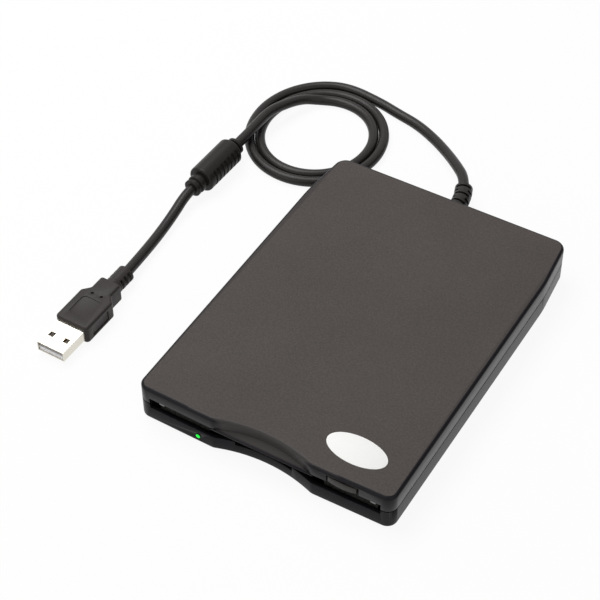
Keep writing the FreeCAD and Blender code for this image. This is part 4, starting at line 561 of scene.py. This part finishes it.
# distances for a tube's rings: each corner of its outline, each extra mark, and a pitch between them
def stationsFor(profile, extra=(), spacing=0.5):
    start, end = profile[0][0], profile[-1][0]
    count = int((end - start) / spacing)
    marks = [distance for distance, _ in profile] + list(extra)
    marks += [start + (end - start) * number / count for number in range(count + 1)]
    kept = []
    for mark in sorted(mark for mark in marks if start <= mark <= end):
        if not kept or mark - kept[-1] > tubeLook["nearest"]:
            kept.append(mark)
    return kept


# one plain object from several, all of them already at the origin
def joined(name, pieces):
    work = bmesh.new()
    for piece in pieces:
        work.from_mesh(piece.data)
    mesh = bpy.data.meshes.new(name)
    work.to_mesh(mesh)
    work.free()
    for piece in pieces:
        bpy.data.objects.remove(piece)
    obj = bpy.data.objects.new(name, mesh)
    bpy.context.scene.collection.objects.link(obj)
    return obj


seamLook = {"height": 0.45 * mm, "depth": 0.9 * mm, "level": 9.6 * mm, "outlineLevel": 2.1 * mm,
            "outlineFind": 0.02 * mm, "past": 0.6 * mm, "above": 0.5 * mm}


# a ring that follows the case's outline, for the shadow gap between its two halves
def seamCutter():
    work = bmesh.new()
    work.from_mesh(frame["nodes"]["lower_case"].data)
    bmesh.ops.remove_doubles(work, verts=work.verts, dist=refineLook["merge"])
    level = [vert for vert in work.verts
             if abs(vert.co.z - seamLook["outlineLevel"]) < seamLook["outlineFind"]]
    marked = set(level)
    loop = [min(level, key=lambda vert: vert.co.x)]
    while True:
        onward = [edge.other_vert(loop[-1]) for edge in loop[-1].link_edges
                  if edge.other_vert(loop[-1]) in marked and edge.other_vert(loop[-1]) not in loop]
        if not onward:
            break
        loop.append(onward[0])
    outline = [Vector((vert.co.x, vert.co.y, 0)) for vert in loop]
    work.free()
    count = len(outline)
    area = sum(here.cross(after).z for here, after in zip(outline, outline[1:] + outline[:1]))
    side = 1.0 if area > 0 else -1.0
    rings = {"out": [], "in": []}
    for number in range(count):
        ahead = outline[(number + 1) % count] - outline[number - 1]
        out = Vector((ahead.y, -ahead.x, 0)).normalized() * side
        rings["out"].append(outline[number] + out * seamLook["past"])
        rings["in"].append(outline[number] - out * seamLook["depth"])
    low = Vector((0, 0, seamLook["level"] - seamLook["height"]))
    high = Vector((0, 0, seamLook["level"] + seamLook["above"]))
    verts = [spot + lift for lift in (low, high) for ring in ("out", "in") for spot in rings[ring]]
    faces = []
    for number in range(count):
        after = (number + 1) % count
        outLow, inLow, outHigh, inHigh = (number + count * layer for layer in range(4))
        outLowNext, inLowNext, outHighNext, inHighNext = (after + count * layer for layer in range(4))
        faces += [(outLow, outLowNext, outHighNext, outHigh), (inLow, inHigh, inHighNext, inLowNext),
                  (outLow, inLow, inLowNext, outLowNext), (outHigh, outHighNext, inHighNext, inHigh)]
    print("seam outline points:", count)
    return plainObject("seamCutter", verts, faces)


boxFaces = [(0, 1, 3, 2), (4, 6, 7, 5), (0, 4, 5, 1), (2, 3, 7, 6), (0, 2, 6, 4), (1, 5, 7, 3)]


def boxVerts(low, high):
    return [Vector((x, y, z)) for x in (low[0], high[0]) for y in (low[1], high[1])
            for z in (low[2], high[2])]


lugToe = {"front": -69.9 * mm, "back": -68.95 * mm, "low": 10.35 * mm, "high": 11.98 * mm}


# each lug's foot, which reaches under the slot's upper edge
def addToes(work):
    for side in (-1, 1):
        across = [vert.co.x for vert in work.verts if vert.co.x * side > 0]
        corners = boxVerts((min(across), lugToe["front"], lugToe["low"]),
                           (max(across), lugToe["back"], lugToe["high"]))
        verts = [work.verts.new(corner) for corner in corners]
        for face in boxFaces:
            work.faces.new([verts[number] for number in face])
    bmesh.ops.recalc_face_normals(work, faces=work.faces)


plugLine = {"front": (-94.85, -51.6, 4.0), "yaw": 1.0, "reach": 35.2}


def plugMatrix():
    return (Matrix.Translation(Vector(plugLine["front"]) * mm)
            @ Matrix.Rotation(-math.radians(plugLine["yaw"]), 4, "Z"))


gripLook = {"cutAt": 25.6, "side": 7.35, "from": 3.4, "to": 13.2, "half": 2.3, "depth": 0.35,
            "past": 1.0, "edge": 0.14 * mm, "sharp": 34.0}


# takes the CAD's plain relief off the plug's grip, for the slotted one
def trimGrip(work):
    place = plugMatrix()
    point = place @ Vector((0, gripLook["cutAt"] * mm, 0))
    normal = place.to_3x3() @ Vector((0, 1, 0))
    cut = bmesh.ops.bisect_plane(work, geom=work.verts[:] + work.edges[:] + work.faces[:], dist=1e-7,
                                 plane_co=point, plane_no=normal, clear_outer=True)
    edges = [item for item in cut["geom_cut"] if isinstance(item, bmesh.types.BMEdge)]
    bmesh.ops.holes_fill(work, edges=edges)


plugReliefLook = {"radius": 3.55, "depth": 0.8, "rowStart": 27.7, "rowPitch": 2.35, "rows": 3,
                  "slotLength": 1.15, "slotSpan": 96.0, "start": 25.2, "end": 35.2, "rowTurn": 0.0,
                  "tip": 2.6}


# grip with a shallow hold on each side, and its slotted relief
def makePlugGrip(finishes):
    place = plugMatrix()
    cutters = []
    for side in (-1, 1):
        inner = side * (gripLook["side"] - gripLook["depth"])
        outer = side * (gripLook["side"] + gripLook["past"])
        corners = boxVerts((min(inner, outer), gripLook["from"], -gripLook["half"]),
                           (max(inner, outer), gripLook["to"], gripLook["half"]))
        cutters.append(plainObject("gripCutter", [place @ (corner * mm) for corner in corners], boxFaces))
    grip = refined("plug_body", "plugGripBlock", edge=gripLook["edge"], shape=trimGrip, cutters=cutters)
    look = plugReliefLook
    profile = reliefProfile(look, [(look["start"], look["radius"])])
    turn = place.to_3x3()

    def frameAt(distance):
        return place @ Vector((0, distance * mm, 0)) / mm, turn @ Vector((1, 0, 0)), Vector((0, 0, 1))

    outline = steps(profile)
    relief = sculptedTube("plugReliefTube", stationsFor(profile), lambda far, angle: outline(far), frameAt)
    rungs = reliefRungs("plugRungs", look, frameAt, finishes["plugMoulding"])
    grip = joined("plugGrip", [grip, relief, rungs])
    smoothUnder(grip.data, gripLook["sharp"])
    return settle(grip, finishes["plugMoulding"], bodyOf("plug_body"), slotOf("plug_body"), "plug_body")


reliefLook = {"radius": 3.6, "depth": 0.8, "rowStart": 3.2, "rowPitch": 2.2, "rows": 6, "slotLength": 1.0,
              "slotSpan": 112.0, "end": 16.4, "flange": 5.0, "wall": 1.5, "flangeDepth": 1.2,
              "rowTurn": 90.0, "tip": 2.5}
reliefLine = {"wall": (0.0, 71.0, 8.0), "straight": 4.5, "bent": 12.5, "turn": 26.0}


# place and heading on the relief's line, in millimetres
def reliefSpot(distance):
    start = Vector(reliefLine["wall"])
    if distance <= reliefLine["straight"]:
        return start + Vector((0, distance, 0)), Vector((0, 1, 0))
    swing = math.radians(reliefLine["turn"])
    radius = reliefLine["bent"] / swing
    angle = (distance - reliefLine["straight"]) / radius
    place = start + Vector((-radius * (1 - math.cos(angle)),
                            reliefLine["straight"] + radius * math.sin(angle), 0))
    return place, Vector((-math.sin(angle), math.cos(angle), 0))


def makeCableRelief(finishes):
    look = reliefLook
    inside = -look["wall"]
    profile = reliefProfile(look, [(inside - look["flangeDepth"], look["flange"]), (inside, look["flange"]),
                                   (inside + rungLook["step"], look["radius"])])

    def frameAt(distance):
        place, heading = reliefSpot(distance)
        return place, Vector((heading.y, -heading.x, 0)), Vector((0, 0, 1))

    outline = steps(profile)
    core = sculptedTube("reliefCore", stationsFor(profile), lambda far, angle: outline(far), frameAt)
    rungs = reliefRungs("reliefRungs", look, frameAt, finishes["cordJacket"])
    relief = joined("cableRelief", [core, rungs])
    smoothUnder(relief.data, tubeLook["sharp"])
    return settle(relief, finishes["cordJacket"], "housing", slotOf("cable_relief"), "cable_relief")


chokeLine = {"low": (-97.7, 34.6, 5.46), "length": 33.0, "yaw": 3.6, "lift": 2.3}
chokeLook = {
    "radius": 5.68, "round": 0.9, "roundTurns": (0, 22.5, 45, 67.5, 90), "bodyStart": 6.0, "bodyEnd": 27.2,
    "end": 30.6, "spacing": 0.6, "ribs": 7, "ribPitch": 2.45, "ribStart": 9.0, "ribGap": 1.15,
    "ribDepth": 0.34, "ribSunk": 0.3, "ribFrom": -52.0, "ribTo": 44.0, "ribPast": 2.0, "bandStep": 0.05,
    # distance along the choke and radius at each corner of a neck
    "lowNeck": [(0, 2.4), (0.01, 3.4), (0.35, 3.75), (1.4, 3.75), (1.7, 3.45), (1.75, 3.1), (2.6, 3.1),
                (2.65, 3.6), (2.95, 3.9), (4.5, 3.9), (4.7, 3.6), (4.75, 3.4), (5.99, 3.4)],
    "highNeck": [(27.21, 3.4), (28.4, 3.3), (28.45, 2.9), (28.85, 2.9), (28.9, 3.45), (29.2, 3.75),
                 (30.25, 3.75), (30.59, 3.4), (30.6, 2.4)]}


def chokeWay():
    yaw = math.radians(chokeLine["yaw"])
    lift = math.radians(chokeLine["lift"])
    return Vector((math.sin(yaw) * math.cos(lift), math.cos(yaw) * math.cos(lift), math.sin(lift)))


# moulded cover: flat-ended barrel with grip ribs, and a ringed neck at either end
def makeChoke(finishes):
    look = chokeLook
    start, end, radius, curve = look["bodyStart"], look["bodyEnd"], look["radius"], look["round"]
    turns = [math.radians(turn) for turn in look["roundTurns"]]
    corner = [(curve * (1 - math.cos(turn)), curve * (1 - math.sin(turn))) for turn in turns]
    barrelEdge = [(start + back, radius - inset) for back, inset in corner]
    barrelEdge += [(end - back, radius - inset) for back, inset in reversed(corner)]
    profile = look["lowNeck"] + barrelEdge + look["highNeck"]
    outline = steps(profile)
    low = Vector(chokeLine["low"])
    way = chokeWay()
    across = way.cross(Vector((0, 0, 1))).normalized()
    up = across.cross(way)
    ribEnd = look["ribStart"] + look["ribPitch"] * look["ribs"] + look["ribGap"]

    def radiusAt(distance, angle):
        turned = (angle + 180) % 360 - 180
        inBand = look["ribStart"] <= distance <= ribEnd and look["ribFrom"] <= turned <= look["ribTo"]
        return outline(distance) - (look["ribDepth"] if inBand else 0.0)

    def frameAt(distance):
        return low + way * distance, across, up

    bandEdges = (look["ribStart"] - look["bandStep"], look["ribStart"], ribEnd, ribEnd + look["bandStep"])
    stations = stationsFor(profile, bandEdges, look["spacing"])
    barrel = sculptedTube("chokeBarrel", stations, radiusAt, frameAt)
    rib = sculptedTube("chokeRib", [0.0, look["ribPitch"] - look["ribGap"]], lambda far, angle: radius,
                       inner=radius - look["ribDepth"] - look["ribSunk"],
                       arc=(look["ribFrom"] - look["ribPast"], look["ribTo"] + look["ribPast"]))
    spots = [low + way * (look["ribStart"] + look["ribGap"]), low + way * (ribEnd + 1.0)]
    ribs = linksAlong("chokeRibs", spots, rib, look["ribs"], 0.0, look["ribPitch"], 0.0,
                      finishes["chokeMoulding"])
    cover = joined("chokeCover", [barrel, ribs])
    smoothUnder(cover.data, tubeLook["sharp"])
    return settle(cover, finishes["chokeMoulding"], "housing", slotOf("ferrite_cover"), "ferrite_cover")


# gives a finished piece its material and body, and hides the CAD nodes that it stands for
def settle(obj, material, body, slotName, *nodes):
    dress(obj, material)
    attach(obj, body)
    if nodes:
        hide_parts(*nodes)
    return obj


def bodyOf(node):
    for body, nodes in frame["record"]["behaviour"]["bodies"].items():
        if node in nodes:
            return body
    raise ValueError(node)


def slotOf(node):
    return next(part["material_slot"] for part in frame["record"]["subparts"] if part["node"] == node)


cameraLook = {"place": (0.214176, -0.396040, 0.488749), "azimuth": 31.29, "elevation": 45.961,
              "roll": -0.682, "lens": 107.08, "sensor": 36.0, "nearest": 0.02, "farthest": 20.0}


def makeCamera():
    camera = bpy.data.cameras.new("studioCamera")
    camera.lens = cameraLook["lens"]
    camera.sensor_width = cameraLook["sensor"]
    camera.clip_start = cameraLook["nearest"]
    camera.clip_end = cameraLook["farthest"]
    holder = bpy.data.objects.new("studioCamera", camera)
    azimuth = math.radians(cameraLook["azimuth"])
    elevation = math.radians(cameraLook["elevation"])
    roll = math.radians(cameraLook["roll"])
    back = Vector((math.sin(azimuth) * math.cos(elevation), -math.cos(azimuth) * math.cos(elevation),
                   math.sin(elevation)))
    right = Vector((0, 0, 1)).cross(back).normalized()
    up = back.cross(right)
    turnedRight = right * math.cos(roll) + up * math.sin(roll)
    turnedUp = up * math.cos(roll) - right * math.sin(roll)
    axes = Matrix((turnedRight, turnedUp, back)).transposed().to_4x4()
    holder.matrix_world = Matrix.Translation(cameraLook["place"]) @ axes
    bpy.context.scene.collection.objects.link(holder)
    bpy.context.scene.camera = holder
    print("camera placed")


# one where the camera, a mirror or a clear piece looks straight at it, and nought as light
def seenDirectly(tree):
    rays = addNode(tree, "ShaderNodeLightPath").outputs
    seen = maths(tree, "MAXIMUM", rays["Is Camera Ray"], rays["Is Glossy Ray"])
    return maths(tree, "MAXIMUM", seen, rays["Is Transmission Ray"])


floorLook = {"colour": (0.90, 0.90, 0.90), "rough": 0.9, "glow": 0.92, "half": 3.0,
             "drop": 0.05 * mm}  # the drop keeps the feet and the floor from sharing one plane


def makeFloor():
    half, level = floorLook["half"], -floorLook["drop"]
    corners = [(-half, -half, level), (half, -half, level), (half, half, level), (-half, half, level)]
    mesh = bpy.data.meshes.new("studioFloor")
    mesh.from_pydata(corners, [], [(0, 1, 2, 3)])
    floor = bpy.data.objects.new("studioFloor", mesh)
    bpy.context.scene.collection.objects.link(floor)
    material, tree, shader = nodeTree("paleFloor")
    feed(tree, shader.inputs["Base Color"], floorLook["colour"])
    shader.inputs["Roughness"].default_value = floorLook["rough"]
    glow = addNode(tree, "ShaderNodeEmission", Strength=1.0)
    feed(tree, glow.inputs["Color"], (1, 1, 1))
    blend = addNode(tree, "ShaderNodeMixShader")
    feed(tree, blend.inputs["Fac"], maths(tree, "MULTIPLY", seenDirectly(tree), floorLook["glow"]))
    feed(tree, blend.inputs[1], shader.outputs["BSDF"])
    feed(tree, blend.inputs[2], glow.outputs["Emission"])
    feed(tree, tree.nodes["Material Output"].inputs["Surface"], blend.outputs["Shader"])
    dress(floor, material)


skyLight = 0.30


def makeSky():
    world = bpy.data.worlds.new("studioWorld")
    world.use_nodes = True
    sky = world.node_tree
    background = sky.nodes["Background"].inputs
    feed(sky, background["Strength"], mapped(sky, seenDirectly(sky), 0.0, 1.0, skyLight, 1.0))
    feed(sky, background["Color"], (1, 1, 1))
    bpy.context.scene.world = world


softboxes = {"keyLight": {"place": (-0.42, 0.12, 0.92), "size": 0.8, "power": 8.0},
             "fillLight": {"place": (0.9, -0.35, 0.55), "size": 0.8, "power": 0.6},
             "frontLight": {"place": (-0.4, -0.9, 0.45), "size": 0.8, "power": 1.2}}
softboxShape = 0.7


def makeLights():
    for name, look in softboxes.items():
        lamp = bpy.data.lights.new(name, "AREA")
        lamp.shape = "RECTANGLE"
        lamp.size = look["size"]
        lamp.size_y = look["size"] * softboxShape
        lamp.energy = look["power"]
        holder = bpy.data.objects.new(name, lamp)
        holder.location = look["place"]
        holder.rotation_euler = (-Vector(look["place"])).to_track_quat("-Z", "Y").to_euler()
        bpy.context.scene.collection.objects.link(holder)


cardLook = {"colour": (0.012, 0.012, 0.012), "place": (0.62, 0.42, 0.24), "size": (0.9, 0.42)}


# a dark card that the case's right wall mirrors
def makeCard():
    across, up = (side / 2 for side in cardLook["size"])
    corners = [(-across, 0, -up), (across, 0, -up), (across, 0, up), (-across, 0, up)]
    card = plainObject("darkCard", corners, [(0, 1, 2, 3)])
    facing = Vector((*cardLook["place"][:2], 0)).to_track_quat("Y", "Z")
    card.data.transform(Matrix.Translation(cardLook["place"]) @ facing.to_matrix().to_4x4())
    material, tree, shader = nodeTree("darkCard")
    feed(tree, shader.inputs["Base Color"], cardLook["colour"])
    dress(card, material)
    card.visible_camera = False


def makeStage():
    bpy.context.scene.view_settings.view_transform = "Standard"
    makeFloor()
    makeSky()
    makeLights()
    makeCard()
    print("stage and lights placed")


cordLook = {"radius": 2.15 * mm, "sides": 12, "steps": 10}


def eased(value):
    value = max(0.0, min(1.0, value))
    return value * value * (3 - 2 * value)


coilRoute = {"across": -72.5, "along": 92.5, "reach": 32.05, "pitch": 4.35, "start": 75.0, "turns": 2.25,
             "pointsPerTurn": 16, "outset": 0.9, "oval": 0.85, "eastward": 0.43, "southward": 0.375,
             "wide": 1.2, "wideEnd": 200.0, "wideSpan": 110.0, "climbStart": 834.0, "climbSpan": 52.0,
             "rise": 4.95, "spread": 0.7, "spreadWait": 20.0}


# a point of the coil's spiral, which climbs over itself at its end
def coilPoint(angle):
    route = coilRoute
    swing = math.radians(angle)
    climbed = angle - route["climbStart"]
    reach = (route["reach"] - route["pitch"] * angle / 360 - route["oval"] * math.cos(2 * swing)
             + route["eastward"] * math.cos(swing) - route["southward"] * math.sin(swing)
             + route["wide"] * eased((route["wideEnd"] - angle) / route["wideSpan"])
             + route["spread"] * eased((climbed - route["spreadWait"]) / route["climbSpan"]))
    height = cordLook["radius"] / mm + route["rise"] * eased(climbed / route["climbSpan"])
    return Vector((route["across"] + reach * math.cos(swing),
                   route["along"] + reach * math.sin(swing), height))


# the way the cord runs at a point of the coil
def coilWay(angle, nudge=0.1):
    return (coilPoint(angle + nudge) - coilPoint(angle - nudge)).normalized()


def splinePiece(name, points, material):
    curve = bpy.data.curves.new(name, "CURVE")
    curve.dimensions = "3D"
    spline = curve.splines.new("NURBS")
    spline.points.add(len(points) - 1)
    for knot, point in zip(spline.points, points):
        knot.co = (*(Vector(point) * mm), 1.0)
    spline.order_u = 3
    spline.use_endpoint_u = True
    spline.resolution_u = cordLook["steps"]
    curve.bevel_depth = cordLook["radius"]
    curve.bevel_resolution = cordLook["sides"] // 2
    curve.use_fill_caps = True
    curve.materials.append(material)
    obj = bpy.data.objects.new(name, curve)
    bpy.context.scene.collection.objects.link(obj)
    return obj


# points on the cord's way, and how far it runs straight on from a piece before it turns
cordRoute = {"lead": [(-11.3, 98.8, 6.8), (-19.0, 105.8, 4.7), (-28.8, 113.0, 2.9), (-39.8, 118.5, 2.2)],
             "tail": [(-97.2, 20.5, 3.4), (-96.3, 9.0, 2.5), (-95.2, -3.5, 3.0)], "fromRelief": 6.0,
             "toCoil": 9.5, "fromCoil": 6.5, "toChoke": 7.0, "inChoke": 2.0, "fromChoke": 4.5}


# the coil's points, a little further out than its line, because a spline cuts inside its points
def coilTurns(angles):
    outset = 1 / math.cos(math.pi / coilRoute["pointsPerTurn"]) ** coilRoute["outset"]
    middle = Vector((coilRoute["across"], coilRoute["along"]))
    turns = []
    for angle in angles:
        point = coilPoint(angle)
        flat = middle + (point.xy - middle) * outset
        turns.append(Vector((flat.x, flat.y, point.z)))
    return turns


def makeCords(finishes):
    leaving, reliefWay = reliefSpot(reliefLine["straight"] + reliefLine["bent"])
    end = coilRoute["start"] + 360 * coilRoute["turns"]
    count = int(math.ceil(coilRoute["pointsPerTurn"] * coilRoute["turns"]))
    angles = [coilRoute["start"] + (end - coilRoute["start"]) * step / count for step in range(count + 1)]
    inWay, outWay = coilWay(angles[0]), coilWay(end)
    diameter = 2 * cordLook["radius"] / mm
    coilIn = coilPoint(angles[0]) - inWay * diameter
    coilOut = coilPoint(end) + outWay * diameter
    low = Vector(chokeLine["low"])
    way = chokeWay()
    top = low + way * chokeLine["length"]
    lead = [leaving, leaving + reliefWay * cordRoute["fromRelief"], *cordRoute["lead"],
            coilIn - inWay * cordRoute["toCoil"], coilIn]
    bridge = [coilOut, coilOut + outWay * cordRoute["fromCoil"], top + way * cordRoute["toChoke"], top,
              low + way * (chokeLook["end"] - cordRoute["inChoke"])]
    main = splinePiece("usbCord", lead + coilTurns(angles[1:-1]) + bridge, finishes["cordJacket"])
    yaw = math.radians(plugLine["yaw"])
    plugIn = Vector(plugLine["front"]) + Vector((math.sin(yaw), math.cos(yaw), 0)) * plugLine["reach"]
    tailPoints = [low, low - way * cordRoute["fromChoke"], *cordRoute["tail"], plugIn]
    tail = splinePiece("usbCordTail", tailPoints, finishes["cordJacket"])
    for obj in (main, tail):
        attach(obj, "housing")
    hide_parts("cord_lead", "cord_coil", "cord_bridge")
    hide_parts("cord_tail")
    print("cords laid")
    return main, tail, leaving * mm, low * mm


shellEdge = 0.12 * mm


def makeShells(finishes):
    top = refined("upper_case", "caseTop", edge=shellEdge)
    settle(top, finishes["topPlastic"], "housing", "case_plastic", "upper_case")
    base = refined("lower_case", "caseBase", edge=shellEdge, cutters=[seamCutter()])
    settle(base, finishes["basePlastic"], "housing", "case_base_plastic", "lower_case")
    print("shells made")


# the CAD node, the piece's name, the softening of its edges in millimetres, and its finish
smallPieces = [
    ("eject_button", "ejectButton", 0.12, "buttonPlastic"),
    ("entry_flap_left", "flapLeft", 0.06, "flapPlastic"),
    ("entry_flap_right", "flapRight", 0.06, "flapPlastic"),
    ("hinge_lugs", "hingeLugs", 0.12, "lugMetal"),
    ("feet", "rubberFeet", 0.15, "footRubber"),
    ("case_screws", "caseScrews", 0.08, "screwSteel"),
    ("label_plate", "labelPlate", 0.08, "labelFilm"),
    ("led_light_pipe", "lampLens", 0.15, "greenLens"),
    ("plug_shell", "plugShell", 0.0, "plugNickel"),
    ("plug_tongue", "plugTongue", 0.08, "tongueNylon"),
    ("plug_contacts", "plugContacts", 0.05, "contactGold"),
]
labelScale = 0.983
buttonScale = 0.965  # leaves the gap that shows at its right end


def makeSmallPieces(finishes):
    pieces = {}
    for node, name, edge, finish in smallPieces:
        piece = refined(node, name, edge=edge * mm, shape=addToes if node == "hinge_lugs" else None)
        pieces[name] = settle(piece, finishes[finish], bodyOf(node), slotOf(node), node)
    label = pieces["labelPlate"].data
    middle = sum((vert.co for vert in label.vertices), Vector()) / len(label.vertices)
    for vert in label.vertices:
        vert.co.xy = middle.xy + (vert.co.xy - middle.xy) * labelScale
    button = pieces["ejectButton"].data
    leftSide = min(vert.co.x for vert in button.vertices)
    for vert in button.vertices:
        vert.co.x = leftSide + (vert.co.x - leftSide) * buttonScale
    pieces["plugGrip"] = makePlugGrip(finishes)
    pieces["cableRelief"] = makeCableRelief(finishes)
    pieces["chokeCover"] = makeChoke(finishes)
    print("small pieces made:", len(pieces))
    return pieces


insideFinishes = {
    "led_body": "chipEpoxy", "drive_frame": "zincSheet", "frame_screws": "screwSteel",
    "top_shield": "zincSheet", "disk_holder": "zincSheet", "holder_springs": "polishedSteel",
    "eject_slider": "zincSheet", "motor_board": "solderMask", "spindle_rotor": "rotorSteel",
    "spindle_hub": "hubMetal", "head_carriage": "carriagePlastic", "lower_head": "headCeramic",
    "upper_head_arm": "polishedSteel", "upper_head": "headCeramic", "guide_rod": "polishedSteel",
    "stepper_motor": "motorSteel", "lead_screw": "polishedSteel", "shutter_lever": "carriagePlastic",
    "control_board": "solderMask", "usb_board": "solderMask", "chips": "chipEpoxy",
    "crystal_can": "polishedSteel", "cable_sockets": "socketNylon", "flat_cable": "ribbonFilm",
    "ferrite_core": "ferriteBlock",
}


def dressInside(finishes):
    for node, finish in insideFinishes.items():
        dress(frame["nodes"][node], finishes[finish])
    print("inner nodes dressed:", len(insideFinishes))


finishes = makeFinishes()
makeCamera()
makeStage()
cordMain, cordTail, cordExit, tailExit = makeCords(finishes)
makeShells(finishes)
pieces = makeSmallPieces(finishes)
dressInside(finishes)

bpy.context.view_layer.update()
